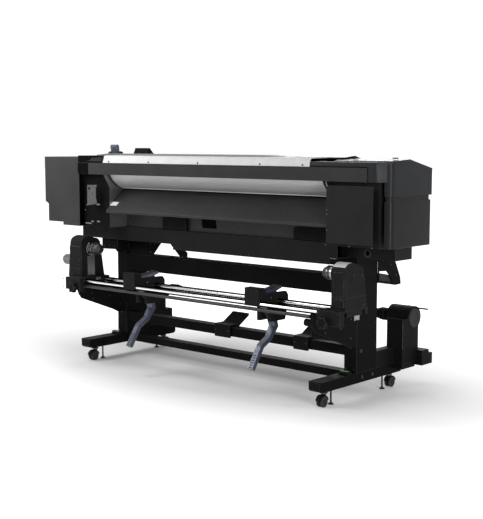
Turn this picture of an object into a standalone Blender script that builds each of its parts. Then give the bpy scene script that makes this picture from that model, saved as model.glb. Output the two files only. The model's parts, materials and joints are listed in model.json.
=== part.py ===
"""Wide roll printer on a stand, with its roll feed at the rear and its take-up at the front.

Frame: metres, +Z up, origin on the floor under the middle of the machine. +X is the right end
seen from the feed (rear) side, -Y is the feed side and +Y the delivery side.
"""

import math

import bmesh
import bpy
from mathutils import Vector

# ---- Driving dimensions -------------------------------------------------------------------
WIDTH = 2.62
DEPTH = 1.07
HEIGHT = 1.350

GAP = 0.0003  # between two pieces that touch
PIN_FIT = 0.0006  # around a pin, shaft or stem in its hole
SEGMENTS = 24

HALF = WIDTH / 2
REAR = -DEPTH / 2
FRONT = DEPTH / 2

# Stand
LEG_X = HALF - 0.406
LEG_W = 0.080
LEG_REAR = -0.064
LEG_FRONT = 0.120
LEG_WALL = 0.003
FOOT_LENGTH = 0.748
FOOT_BOTTOM = 0.087
FOOT_TOP = 0.143
LEG_INNER = LEG_X - LEG_W / 2
LEG_OUTER = LEG_X + LEG_W / 2
SPAN = LEG_INNER - GAP  # half length of what fits between the legs
BAR_REAR = -0.060  # rear face of the three cross bars
BAR_WALL = 0.0025
STAY_Z = (0.100, FOOT_TOP)
STAY_FRONT = 0.0
TAKE_BEAM_Z = (0.230, 0.285)
TAKE_BEAM_FRONT = 0.0
CROSSBEAM_Z = (0.558, 0.658)
CROSSBEAM_FRONT = 0.040
GUSSET_T = 0.006

# Casters and levelling feet
WHEEL_R = 0.029
WHEEL_HALF_W = 0.018
WHEEL_INNER = 0.006
AXLE_R = 0.0035
TRAIL = 0.014
SWIVEL_Y = 0.298
HOOD_T = 0.004
LEVELER_Y = 0.236
LEVELER_TRAVEL = 0.022  # room above the stem inside the foot
STEM_R = 0.005
PAD_R = 0.016
PAD_Z = 0.001

# Roll feed
RAIL_R = 0.0145
RAIL_Z = 0.524
REAR_RAIL_Y = -0.450
FRONT_RAIL_Y = -0.300
RAIL_LEFT = -LEG_X - 0.046
RAIL_RIGHT = LEG_X + 0.216
ARM_TIP_Y = -0.452
ARM_T = 0.012  # the two arms are plates along the +X side of their legs
ARM_TOP = RAIL_Z - RAIL_R - GAP
ARM_TIP_LOW = 0.410
ARM_ROOT_LOW = 0.290
TUBE_R = 0.010
TUBE_Z = 0.494
HOLDER_Y = (-0.450, -0.268)
HOLDER_BASE_Y = -0.262
HOLDER_BASE_Z = (0.512, 0.544)
SKIRT_Y = (-0.500, -0.468)
SKIRT_LOW = 0.470
HUB_Z = 0.716
HUB_Y = -0.376
HUB_REACH = 0.100
SHAFT_R = 0.012
SHAFT_DEPTH = 0.028
CORE_KNOB_Z = 0.634
STAR_R = 0.033
STAR_Z = 0.487

# Roll lifting supports
SUPPORT_W = 0.097
SUPPORT_XS = (-LEG_X + 0.5105, LEG_X - 0.3475)
LEVER_W = 0.050
LEVER_T = 0.026
LEVER_SLOT = LEVER_W + 0.003
LEVER_PIVOT = (-0.365, 0.548)
LEVER_PIN_R = 0.006

# Body
BASE_Z = HEIGHT - 0.587
BASE_TOP = BASE_Z + 0.082
BASE_REAR = -0.200
BASE_FRONT = 0.120
BASE_T = 0.004
FRAME_TOP = BASE_TOP + 0.325
SHEET_T = 0.003
COVER_T = 0.004
LEFT_COVER_W = 0.3377
LEFT_FRAME_W = 0.237
RIGHT_FRAME_INSET = 0.060
RIGHT_FRAME_W = 0.298
LEFT_COVER_X = -HALF + LEFT_COVER_W
LEFT_FRAME_X = (LEFT_COVER_X + GAP, LEFT_COVER_X + GAP + LEFT_FRAME_W)
RIGHT_FRAME_X = (HALF - RIGHT_FRAME_INSET - RIGHT_FRAME_W, HALF - RIGHT_FRAME_INSET)
PATH_X = (LEFT_FRAME_X[1] + GAP, RIGHT_FRAME_X[0] - GAP)  # between the two side frames
FRONT_SPAN = (LEFT_FRAME_X[0] + SHEET_T + GAP, PATH_X[1])
BODY_TOP = FRAME_TOP + 0.095
LEFT_TOP = FRAME_TOP + 0.104
LEFT_FRONT = 0.275
BODY_FRONT = 0.240
PLATEN_Z = FRAME_TOP - 0.070
PLATEN_REAR = -0.148
PLATEN_WALL = -0.172  # rear wall of the platen's lower half
PLATEN_FRONT = 0.103
BEAM_REAR = -0.360
BEAM_FRONT = -0.306
BEAM_TOP = FRAME_TOP + 0.070
STRIP_TOP = FRAME_TOP + 0.115
STRIP_LEFT = LEFT_COVER_X + 0.233
STRIP_RIGHT = RIGHT_FRAME_X[0] - 0.106
HINGE_R = 0.004
HINGE = (-0.203, STRIP_TOP + 0.002 - HINGE_R)
COVER_GAP_Z = (FRAME_TOP - 0.093, FRAME_TOP - 0.070)  # dark gap between right cover and cap
RIGHT_COVER_T = 0.012
CAP_REAR = -0.310
CORNER_R = 0.030

# Print drive
FEED_R = 0.015
FEED_AXIS = (PLATEN_REAR - FEED_R - 0.002, PLATEN_Z - FEED_R)
PINCH_R = 0.010
PINCH_NOSE = (FEED_AXIS[0], PLATEN_Z + PINCH_R + GAP)
PINCH_PIVOT = (-0.135, PLATEN_Z + 0.050)
CARRIAGE_RAIL_Y = (-0.100, -0.060)
CARRIAGE_RAIL_H = 0.040
CARRIAGE_W = 0.240
CARRIAGE_FRONT = 0.100
CARRIAGE_PARK = RIGHT_FRAME_X[1] - 0.020

# Operator side
PANEL_X = (LEFT_COVER_X - 0.162, LEFT_COVER_X - 0.032)
PANEL_Y = 0.262
PANEL_R = 0.008
LOAD_Y = 0.120
LOAD_X = (-HALF + 0.122, -HALF + 0.180)
LOAD_BARREL_R = 0.010
LOAD_AXIS_Z = LEFT_TOP + GAP + LOAD_BARREL_R
CHEEK_T = 0.024
CHEEK_R = 0.022

# Take-up
TAKE_Y = 0.406
TAKE_Z = 0.392
DRUM_R = 0.064
POST_X = (LEG_X - 0.009, LEG_X + 0.096)
POST_Y = (0.290, 0.448)
DRUM_X = (LEG_X - 0.048, LEG_X + 0.097)
BRACKET_TOP = 0.235
REST_XS = (-LEG_X + 0.884, LEG_X - 0.334)
REST_WS = (0.120, 0.100)
SADDLE_T = 0.015
IDLER_X = (-LEG_X - 0.026, -LEG_X + 0.026)
IDLER_HEAD_R = 0.019
IDLER_FACE = IDLER_X[1] + 0.002

FINISHES = {
    "black_paint": ((0.012, 0.012, 0.013), 0.45, 0.0),
    "grey_paint": ((0.045, 0.046, 0.050), 0.40, 0.0),
    "black_plastic": ((0.010, 0.010, 0.011), 0.50, 0.0),
    "rubber": ((0.008, 0.008, 0.008), 0.80, 0.0),
    "steel": ((0.62, 0.62, 0.63), 0.18, 1.0),
    "satin_steel": ((0.10, 0.10, 0.105), 0.40, 0.6),
    "aluminium": ((0.80, 0.80, 0.81), 0.30, 0.8),
    "galvanized": ((0.28, 0.28, 0.29), 0.45, 0.7),
    "blue_grey": ((0.045, 0.052, 0.075), 0.35, 0.0),
}


# ---- Shape helpers ------------------------------------------------------------------------
def clear_scene():
    for old in list(bpy.data.objects):
        bpy.data.objects.remove(old)


def place(axis, along, a, b):
    """Point at `along` on an axis, with a and b on the other two axes in their order."""
    return {"X": (along, a, b), "Y": (a, along, b), "Z": (a, b, along)}[axis]


def add_prism(bm, outline, axis, low, high, lean=0.0):
    """Extrude a closed outline along an axis. lean narrows the low side per metre of height."""
    start = [bm.verts.new(place(axis, low, a, b)) for a, b in outline]
    bottom = bm.faces.new(start)
    extruded = bmesh.ops.extrude_face_region(bm, geom=[bottom])
    top = [item for item in extruded["geom"] if isinstance(item, bmesh.types.BMVert)]
    step = Vector(place(axis, high - low, 0.0, 0.0))
    bmesh.ops.translate(bm, verts=top, vec=step)
    if lean:
        base = min(v.co.z for v in start)
        for v in start:
            v.co.x += lean * (v.co.z - base)


def add_turned(bm, profile, axis, centre, segments=SEGMENTS):
    """Turn (distance along the axis, radius) points about an axis through centre (a, b)."""
    ca, cb = centre
    turn = Vector(place(axis, 1.0, 0.0, 0.0))
    chain = [bm.verts.new(place(axis, along, ca, cb + radius)) for along, radius in profile]
    edges = [bm.edges.new(pair) for pair in zip(chain, chain[1:])]
    bmesh.ops.spin(
        bm,
        geom=chain + edges,
        cent=place(axis, 0.0, ca, cb),
        axis=turn,
        angle=2 * math.pi,
        steps=segments,
        use_merge=True,
    )
    bmesh.ops.remove_doubles(bm, verts=list(bm.verts), dist=1e-6)


def finish_of(name):
    if name in bpy.data.materials:
        return bpy.data.materials[name]
    colour, roughness, metallic = FINISHES[name.split(".", 1)[1]]
    material = bpy.data.materials.new(name)
    material.use_nodes = True
    shader = material.node_tree.nodes["Principled BSDF"]
    shader.inputs["Base Color"].default_value = (*colour, 1.0)
    shader.inputs["Roughness"].default_value = roughness
    shader.inputs["Metallic"].default_value = metallic
    return material


def solid(name, finish, fill, pivot=(0.0, 0.0, 0.0)):
    """Object whose mesh is filled by fill(bm), in world places, with its origin on the pivot."""
    bm = bmesh.new()
    fill(bm)
    bmesh.ops.recalc_face_normals(bm, faces=list(bm.faces))
    bmesh.ops.translate(bm, verts=list(bm.verts), vec=-Vector(pivot))
    mesh = bpy.data.meshes.new(name)
    bm.to_mesh(mesh)
    bm.free()
    mesh.shade_smooth()
    mesh.set_sharp_from_angle(angle=math.radians(30))
    if finish:
        mesh.materials.append(finish_of(f"{name}.{finish}"))
    made = bpy.data.objects.new(name, mesh)
    made.location = pivot
    bpy.context.scene.collection.objects.link(made)
    return made


def prism(name, finish, outline, axis, low, high, pivot=(0.0, 0.0, 0.0), lean=0.0):
    return solid(name, finish, lambda bm: add_prism(bm, outline, axis, low, high, lean), pivot)


def turned(name, finish, profile, axis, centre, pivot=(0.0, 0.0, 0.0), segments=SEGMENTS):
    fill = lambda bm: add_turned(bm, profile, axis, centre, segments)
    return solid(name, finish, fill, pivot)


def box(name, finish, x, y, z, pivot=(0.0, 0.0, 0.0)):
    return prism(name, finish, rectangle(y, z), "X", x[0], x[1], pivot)


def combine(target, tool, operation):
    """Boolean of target with a guide object that the model itself leaves out."""
    step = target.modifiers.new(operation.lower(), "BOOLEAN")
    step.operation = operation
    step.object = tool
    step.solver = "EXACT"
    tool.hide_render = True
    tool.display_type = "WIRE"
    return target


def join(target, tool):
    return combine(target, tool, "UNION")


def cut(target, tool):
    return combine(target, tool, "DIFFERENCE")


def rectangle(a, b):
    return [(a[0], b[0]), (a[1], b[0]), (a[1], b[1]), (a[0], b[1])]


def arc(centre, radius, start, end, steps):
    """Points from start to end degrees about centre."""
    angles = [math.radians(start + (end - start) * i / steps) for i in range(steps + 1)]
    return [(centre[0] + radius * math.cos(t), centre[1] + radius * math.sin(t)) for t in angles]


def squashed_arc(centre, across, up, start, end):
    """Points along an ellipse with half sizes across and up."""
    return [(centre[0] + across * c, centre[1] + up * s) for c, s in arc((0, 0), 1, start, end, 6)]


def inset(points, distance):
    """An open run of points moved to its left by a distance, with mitred corners."""
    run = [Vector(p) for p in points]
    moved = []
    for i, p in enumerate(run):
        ways = []
        if i > 0:
            ways.append((p - run[i - 1]).normalized())
        if i < len(run) - 1:
            ways.append((run[i + 1] - p).normalized())
        normals = [Vector((-w.y, w.x)) for w in ways]
        mitre = sum(normals, Vector((0.0, 0.0))).normalized()
        moved.append(tuple(p + mitre * (distance / mitre.dot(normals[0]))))
    return moved


def folded(points, gauge):
    """Closed outline of folded sheet: one face on the points, the other to their left."""
    return list(points) + inset(points, gauge)[::-1]


def pin_hole(name, axis, centre, radius, low, high):
    return turned(name, None, [(low, 0), (low, radius), (high, radius), (high, 0)], axis, centre)


def mirrored(low, high, side):
    """An X range on the right, or its mirror on the left."""
    return (low, high) if side > 0 else (-high, -low)


# ---- Stand --------------------------------------------------------------------------------
def make_foot(tag, side):
    half = FOOT_LENGTH / 2
    nose = 0.016
    low = FOOT_BOTTOM
    outline = [
        (-half, low + 0.010),
        (-half + nose, low),
        (half - nose, low),
        (half, low + 0.010),
        (half, FOOT_TOP),
        (-half, FOOT_TOP),
    ]
    x = side * LEG_X
    foot = prism(f"foot_{tag}", "black_paint", outline, "X", x - LEG_W / 2, x + LEG_W / 2)
    for end, y in (("rear", -LEVELER_Y), ("front", LEVELER_Y)):
        hole = pin_hole(f"hole_{tag}_{end}", "Z", (x, y), STEM_R + PIN_FIT, low - 0.02, 0.2)
        cut(foot, hole)


def make_caster(tag, x, end):
    """Twin wheel caster: its fork turns on the foot, its wheels turn on an axle along X."""
    swivel = end * SWIVEL_Y
    wheel = swivel + end * TRAIL
    centre = (wheel, WHEEL_R)
    hood_r = WHEEL_R + 0.002
    arch = arc(centre, hood_r + HOOD_T, 12, 168, 10) + arc(centre, hood_r, 168, 12, 10)
    fork = prism(
        f"caster_fork_{tag}",
        "black_plastic",
        arch,
        "X",
        x - WHEEL_HALF_W,
        x + WHEEL_HALF_W,
        pivot=(x, swivel, 0.0),
    )
    web_half = WHEEL_INNER - 0.001
    web_z = (0.012, WHEEL_R + hood_r + HOOD_T / 2)
    web = box(f"web_{tag}", None, (x - web_half, x + web_half), (wheel - 0.020, wheel + 0.020), web_z)
    boss_low = WHEEL_R + hood_r - 0.001
    boss_top = FOOT_BOTTOM - GAP
    boss = pin_hole(f"boss_{tag}", "Z", (x, swivel), 0.013, boss_low, boss_top)
    hole = pin_hole(f"axle_hole_{tag}", "X", centre, AXLE_R + PIN_FIT, x - 0.02, x + 0.02)
    join(fork, web)
    join(fork, boss)
    cut(fork, hole)

    rim = WHEEL_HALF_W
    inner = WHEEL_INNER
    half_profile = [
        (rim, 0.0),
        (rim, WHEEL_R - 0.004),
        (rim - 0.002, WHEEL_R),
        (inner + 0.002, WHEEL_R),
        (inner, WHEEL_R - 0.003),
        (inner, AXLE_R),
    ]
    profile = [(x - a, r) for a, r in half_profile] + [(x + a, r) for a, r in half_profile[::-1]]
    turned(
        f"caster_wheels_{tag}",
        "rubber",
        profile,
        "X",
        centre,
        pivot=(x, *centre),
        segments=20,
    )


def make_leveler(tag, x, y):
    profile = [
        (PAD_Z, 0.0),
        (PAD_Z, PAD_R),
        (PAD_Z + 0.004, PAD_R),
        (PAD_Z + 0.013, 0.007),
        (PAD_Z + 0.015, STEM_R),
        (FOOT_TOP - LEVELER_TRAVEL, STEM_R),
        (FOOT_TOP - LEVELER_TRAVEL, 0.0),
    ]
    turned(f"leveler_{tag}", "steel", profile, "Z", (x, y), pivot=(x, y, 0.0), segments=16)


def make_bar(name, outer_y, outer_z, finish="black_paint"):
    """Square tube across the stand, open at both ends."""
    bar = box(name, finish, (-SPAN, SPAN), outer_y, outer_z)
    inner_y = (outer_y[0] + BAR_WALL, outer_y[1] - BAR_WALL)
    inner_z = (outer_z[0] + BAR_WALL, outer_z[1] - BAR_WALL)
    return cut(bar, box(f"{name}_bore", None, (-SPAN - 0.01, SPAN + 0.01), inner_y, inner_z))


def make_leg(tag, side):
    x = side * LEG_X
    wide = (x - LEG_W / 2, x + LEG_W / 2)
    leg = box(f"leg_{tag}", "black_paint", wide, (LEG_REAR, LEG_FRONT), (FOOT_TOP + GAP, BASE_Z - GAP))
    inner_x = (wide[0] + LEG_WALL, wide[1] - LEG_WALL)
    inner_y = (LEG_REAR + LEG_WALL, LEG_FRONT - LEG_WALL)
    cut(leg, box(f"leg_bore_{tag}", None, inner_x, inner_y, (FOOT_TOP - 0.01, BASE_Z + 0.01)))


def make_crossbeam():
    """Upper cross bar, with two slanted plates that reach up behind the body."""
    bar = make_bar("upper_crossbeam", (BAR_REAR, CROSSBEAM_FRONT), CROSSBEAM_Z)
    root = CROSSBEAM_Z[1] - BAR_WALL / 2
    top = BASE_Z - 0.018
    plates = {
        "wide": [(-SPAN + 0.03, root), (-0.628, root), (-0.547, top), (-SPAN + 0.03, top)],
        "narrow": [(-0.368, root), (-0.321, root), (-0.321, top - 0.045), (-0.400, top), (-0.467, top)],
    }
    for tag, outline in plates.items():
        join(bar, prism(f"plate_{tag}", None, outline, "Y", BAR_REAR + 0.001, BAR_REAR + GUSSET_T))


def make_stand():
    for tag, side in (("left", -1), ("right", 1)):
        make_foot(tag, side)
        make_leg(tag, side)
        for end_tag, end in (("rear", -1), ("front", 1)):
            make_caster(f"{tag}_{end_tag}", side * LEG_X, end)
            make_leveler(f"{tag}_{end_tag}", side * LEG_X, end * LEVELER_Y)
    make_bar("bottom_stay", (BAR_REAR, STAY_FRONT), STAY_Z)
    make_bar("take_up_beam", (BAR_REAR, TAKE_BEAM_FRONT), TAKE_BEAM_Z)
    make_crossbeam()


# ---- Roll feed ----------------------------------------------------------------------------
def make_feed_arm(tag, side):
    root = LEG_REAR - GAP
    outline = [
        (root, ARM_ROOT_LOW),
        (root, ARM_TOP - 0.019),
        (-0.235, ARM_TOP - 0.019),
        (-0.255, ARM_TOP),
        (ARM_TIP_Y, ARM_TOP),
        (ARM_TIP_Y, ARM_TIP_LOW + 0.030),
        (ARM_TIP_Y + 0.022, ARM_TIP_LOW),
        (-0.170, ARM_ROOT_LOW + 0.020),
        (-0.130, ARM_ROOT_LOW),
    ]
    face = side * LEG_X + LEG_W / 2
    prism(f"feed_arm_{tag}", "black_paint", outline, "X", face - ARM_T, face)


def make_rails():
    for name, y in (("rear_rail", REAR_RAIL_Y), ("front_rail", FRONT_RAIL_Y)):
        round_outline = arc((y, RAIL_Z), RAIL_R, 0, 360, SEGMENTS)[:-1]
        prism(name, "steel", round_outline, "X", RAIL_LEFT, RAIL_RIGHT)
        pin_hole(f"{name}_bore", "X", (y, RAIL_Z), RAIL_R + GAP, -HALF, HALF)
    tube = arc((REAR_RAIL_Y, TUBE_Z), TUBE_R, 0, 360, 16)[:-1]
    prism("tie_tube", "satin_steel", tube, "X", -SPAN, LEG_OUTER - ARM_T - GAP)


def rail_bores(target):
    """Cut the two rails' running bores out of a piece that slides on them."""
    for name in ("rear_rail_bore", "front_rail_bore"):
        cut(target, bpy.data.objects[name])


def make_holder(tag, side, base_x, upright_x, top, lean):
    """Roll holder: a saddle on both rails with a curved upright that carries the hub."""
    low, high = HOLDER_BASE_Z
    base = [
        (SKIRT_Y[0], SKIRT_LOW),
        (SKIRT_Y[1], SKIRT_LOW),
        (SKIRT_Y[1], low),
        (HOLDER_BASE_Y, low),
        (HOLDER_BASE_Y, high),
        (SKIRT_Y[0], high),
    ]
    holder = prism(f"{tag}_holder", "black_plastic", base, "X", *base_x)
    rear, front = HOLDER_Y
    drop, back_w, front_w = 0.040, 0.060, 0.045
    front_centre = (front - 0.030 - front_w, top - 0.055)
    rear_centre = (rear + back_w, top - drop)
    crown = squashed_arc(front_centre, front_w, drop, 0, 90) + squashed_arc(rear_centre, back_w, drop, 90, 180)
    outline = [(rear, high - 0.003), (front, high - 0.003)] + crown
    join(holder, prism(f"{tag}_upright", None, outline, "X", *upright_x, lean=lean))
    rail_bores(holder)
    face = upright_x[1] if side < 0 else upright_x[0]
    hole = sorted((face + side * (SHAFT_DEPTH + GAP), face - side * 0.02))
    cut(holder, pin_hole(f"{tag}_hub_hole", "X", (HUB_Y, HUB_Z), SHAFT_R + PIN_FIT, *hole))
    return holder


def make_hub(name, face, side, reach):
    """Hub that grips the roll's core: shaft in the holder, flange, groove, ring and nose."""
    steps = [
        (-SHAFT_DEPTH, 0.0),
        (-SHAFT_DEPTH, SHAFT_R),
        (GAP, SHAFT_R),
        (GAP, 0.042),
        (0.012, 0.042),
        (0.014, 0.031),
        (0.30 * reach, 0.031),
        (0.30 * reach, 0.039),
        (0.42 * reach, 0.039),
        (0.42 * reach, 0.036),
        (0.76 * reach, 0.034),
        (0.94 * reach, 0.024),
        (reach, 0.014),
        (reach, 0.0),
    ]
    profile = [(face - side * along, radius) for along, radius in steps]
    turned(name, "steel", profile, "X", (HUB_Y, HUB_Z), pivot=(face, HUB_Y, HUB_Z))


def make_star_knob(name, x):
    """Six-lobed clamp knob on the rear skirt of a holder."""
    lobes = 6
    points = []
    for i in range(lobes * 4):
        turn = 2 * math.pi * i / (lobes * 4)
        radius = STAR_R - 0.004 + 0.004 * math.cos(lobes * turn)
        points.append((x + radius * math.cos(turn), STAR_Z + radius * math.sin(turn)))
    rear = REAR
    pivot = (x, SKIRT_Y[0], STAR_Z)
    knob = prism(name, "black_plastic", points, "Y", rear, SKIRT_Y[0] - 0.008, pivot)
    collar = pin_hole(f"{name}_collar", "Y", (x, STAR_Z), 0.014, rear + 0.004, SKIRT_Y[0] - GAP)
    join(knob, collar)


def make_core_knob(face):
    steps = [
        (-SHAFT_DEPTH, 0.0),
        (-SHAFT_DEPTH, SHAFT_R),
        (0.040, SHAFT_R),
        (0.040, 0.026),
        (0.046, 0.033),
        (0.112, 0.033),
        (0.126, 0.027),
        (0.130, 0.016),
        (0.130, 0.0),
    ]
    profile = [(face - along, radius) for along, radius in steps]
    pivot = (face, HUB_Y, CORE_KNOB_Z)
    turned("left_core_knob", "satin_steel", profile, "X", (HUB_Y, CORE_KNOB_Z), pivot=pivot)


def make_support(tag, x):
    """Roll support: two cheeks on the rails joined at the rear, with a lever between them."""
    top = RAIL_Z + 0.048
    outline = [
        (REAR_RAIL_Y - 0.020, HOLDER_BASE_Z[0]),
        (-0.370, HOLDER_BASE_Z[0]),
        (-0.370, 0.420),
        (-0.250, 0.420),
        (-0.225, 0.520),
        (-0.225, top - 0.020),
        (-0.240, top),
        (-0.410, top),
        (-0.420, top + 0.035),
        (REAR_RAIL_Y - 0.020, top + 0.035),
    ]
    half = SUPPORT_W / 2
    body = prism(f"roll_support_{tag}", "black_plastic", outline, "X", x - half, x + half)
    slot_x = (x - LEVER_SLOT / 2, x + LEVER_SLOT / 2)
    cut(body, box(f"slot_{tag}", None, slot_x, (-0.425, -0.200), (0.400, top + 0.060)))
    rail_bores(body)
    cut(body, pin_hole(f"pin_{tag}", "X", LEVER_PIVOT, LEVER_PIN_R + PIN_FIT, x - 0.06, x + 0.06))

    py, pz = LEVER_PIVOT
    rear_face = [
        (py - LEVER_T / 2, pz + 0.012),
        (py - LEVER_T / 2 + 0.005, 0.485),
        (-0.318, 0.430),
        (-0.303, 0.387),
        (-0.342, 0.332),
        (-0.405, 0.299),
        (-0.436, 0.253),
        (-0.483, 0.180),
    ]
    wide = (x - LEVER_W / 2, x + LEVER_W / 2)
    pivot = (x, py, pz)
    arm = folded(rear_face, LEVER_T)
    lever = prism(f"lift_lever_{tag}", "blue_grey", arm, "X", *wide, pivot=pivot)
    pad = [
        (-0.408, top + 0.007),
        (-0.255, top + 0.031),
        (-0.252, top + 0.017),
        (-0.332, top - 0.006),
        (-0.346, pz + 0.003),
        (-0.379, pz + 0.003),
        (-0.405, top - 0.008),
    ]
    join(lever, prism(f"pad_{tag}", None, pad, "X", *wide))
    pin = x - SUPPORT_W / 2 + 0.004, x + SUPPORT_W / 2 - 0.004
    join(lever, pin_hole(f"lever_pin_{tag}", "X", LEVER_PIVOT, LEVER_PIN_R, *pin))


def make_roll_feed():
    make_feed_arm("left", -1)
    make_feed_arm("right", 1)
    make_rails()
    left_upright = (-LEG_X - 0.062, -LEG_X + 0.064)
    left_base = (-LEG_X - 0.031, -LEG_X + 0.104)
    left = make_holder("left", -1, left_base, left_upright, top=0.795, lean=0.10)
    knob_face = left_upright[0] + 0.10 * (CORE_KNOB_Z - HOLDER_BASE_Z[1])
    blind = (left_upright[0] - 0.01, knob_face + SHAFT_DEPTH + GAP)
    knob_hole = pin_hole("core_knob_hole", "X", (HUB_Y, CORE_KNOB_Z), SHAFT_R + PIN_FIT, *blind)
    cut(left, knob_hole)
    make_core_knob(knob_face)
    make_hub("left_hub", left_upright[1], -1, HUB_REACH)
    make_star_knob("left_clamp_knob", -LEG_X + 0.062)

    right_upright = (LEG_X + 0.156, LEG_X + 0.244)
    make_holder("right", 1, (LEG_X + 0.104, LEG_X + 0.246), right_upright, top=0.776, lean=0.0)
    make_hub("right_hub", right_upright[0], 1, HUB_REACH)
    make_star_knob("right_clamp_knob", LEG_X + 0.160)

    for tag, x in zip(("left", "right"), SUPPORT_XS):
        make_support(tag, x)


# ---- Body ---------------------------------------------------------------------------------
def channel(rear, front, low, top):
    """Outline of a channel open to the front, walked so that its inside is to the left."""
    return [(front, top), (rear, top), (rear, low), (front, low)]


def make_base():
    main = folded(channel(BASE_REAR, BASE_FRONT, BASE_Z, BASE_TOP), BASE_T)
    right_end = RIGHT_FRAME_X[0] - 0.042
    base = prism("base_frame", "black_paint", main, "X", LEFT_FRAME_X[0] - 0.152, right_end)
    step = folded(channel(-0.100, 0.055, BASE_Z, BASE_TOP), BASE_T)
    join(base, prism("base_step", None, step, "X", right_end - 0.05, RIGHT_FRAME_X[1] - 0.05))
    end_x = (RIGHT_FRAME_X[1] - 0.054, RIGHT_FRAME_X[1] - 0.050)
    join(base, box("base_end", None, end_x, (-0.099, 0.055), (BASE_Z + 0.001, BASE_TOP - 0.001)))
    skirt_z = (BASE_Z - 0.033, BASE_Z + 0.03)
    skirt_x = (-0.300, LEG_INNER - 0.004)
    join(base, box("base_skirt", None, skirt_x, (BASE_REAR, BASE_REAR + BASE_T), skirt_z))


def make_platen():
    low = BASE_TOP + GAP
    step = PLATEN_Z - 0.040
    run = [
        (PLATEN_FRONT, low),
        (PLATEN_FRONT, PLATEN_Z),
        (PLATEN_REAR, PLATEN_Z),
        (PLATEN_REAR, step),
        (PLATEN_WALL, step),
        (PLATEN_WALL, low),
    ]
    prism("platen_frame", "black_paint", folded(run, SHEET_T), "X", *PATH_X)


def make_side_frames():
    low = BASE_TOP + GAP
    top = FRAME_TOP - GAP
    x0, x1 = LEFT_FRAME_X
    left_run = [(x0, 0.100), (x0, -0.310), (x1, -0.310), (x1, 0.100)]
    left = prism("left_side_frame", "galvanized", folded(left_run, SHEET_T), "Z", low, top)
    x0, x1 = RIGHT_FRAME_X
    seat = BODY_FRONT - RIGHT_COVER_T - GAP
    right_run = [(x0, seat), (x0, -0.320), (x1, -0.320), (x1, 0.060)]
    right = prism("right_side_frame", "black_paint", folded(right_run, SHEET_T), "Z", low, top)
    places = ((left, LEFT_FRAME_X[1] - SHEET_T, -0.310, "left"), (right, RIGHT_FRAME_X[0], -0.320, "right"))
    for frame, x, rear, tag in places:
        horn = [(rear + 0.001, top - 0.080), (rear + 0.001, top), (BEAM_REAR + 0.002, top)]
        join(frame, prism(f"horn_{tag}_frame", None, horn, "X", x, x + SHEET_T))
        reach = (x - 0.02, x + 0.02)
        for part, centre, radius in (("feed", FEED_AXIS, 0.006), ("pinch", PINCH_PIVOT, 0.005)):
            cut(frame, pin_hole(f"{part}_hole_{tag}", "X", centre, radius + PIN_FIT, *reach))
    park_y = (CARRIAGE_RAIL_Y[1] - 0.001, BODY_FRONT)
    park = box("park_notch", None, (x0 - 0.01, x0 + 0.02), park_y, (PLATEN_Z + 0.005, top + 0.01))
    cut(right, park)


def make_rear_beam():
    run = channel(BEAM_REAR, BEAM_FRONT, FRAME_TOP + GAP, BEAM_TOP)
    left = LEFT_COVER_X + 0.003
    beam = prism("rear_beam", "grey_paint", folded(run, BASE_T), "X", left, RIGHT_FRAME_X[1] - 0.0503)
    block_y = (BEAM_REAR + 0.003, HINGE[0] - HINGE_R - 0.002)
    block_z = (BEAM_TOP - 0.003, STRIP_TOP - 0.001)
    join(beam, box("beam_block", None, (left + 0.001, STRIP_LEFT - GAP), block_y, block_z))


def make_strip():
    """Bright sloping strip on top of the rear beam, bent flat where the lid's hinge begins."""
    rear_edge = (BEAM_REAR + 0.002, BEAM_TOP + GAP + SHEET_T * 0.3)
    bend = [(-0.338, STRIP_TOP), (-0.348, STRIP_TOP - 0.007)]
    run = [(HINGE[0] - HINGE_R - GAP, STRIP_TOP)] + bend + [rear_edge]
    reach = (STRIP_LEFT, STRIP_RIGHT)
    prism("top_strip", "aluminium", folded(run, SHEET_T), "X", *reach)


def make_guide():
    """Curved guide sheet that hangs from the rear beam over the feed slot."""
    start = Vector((-0.315, FRAME_TOP))
    end = Vector((-0.220, FRAME_TOP - 0.080))
    bulge = Vector((-0.010, -0.008))
    steps = 8
    run = []
    for i in range(steps + 1):
        t = i / steps
        run.append(tuple(start.lerp(end, t) + bulge * (4 * t * (1 - t))))
    reach = (PATH_X[0] + 0.015, PATH_X[1] - 0.052)
    prism("inner_guide", "aluminium", folded(run[::-1], 0.0025), "X", *reach)


def make_feed_plate():
    lip = PLATEN_Z - 0.148
    run = [(-0.186, PLATEN_Z - 0.012), (-0.208, PLATEN_Z - 0.028), (-0.340, lip), (-0.340, lip - 0.014)]
    prism("feed_plate", "black_paint", folded(run, SHEET_T), "X", *PATH_X)


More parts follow.
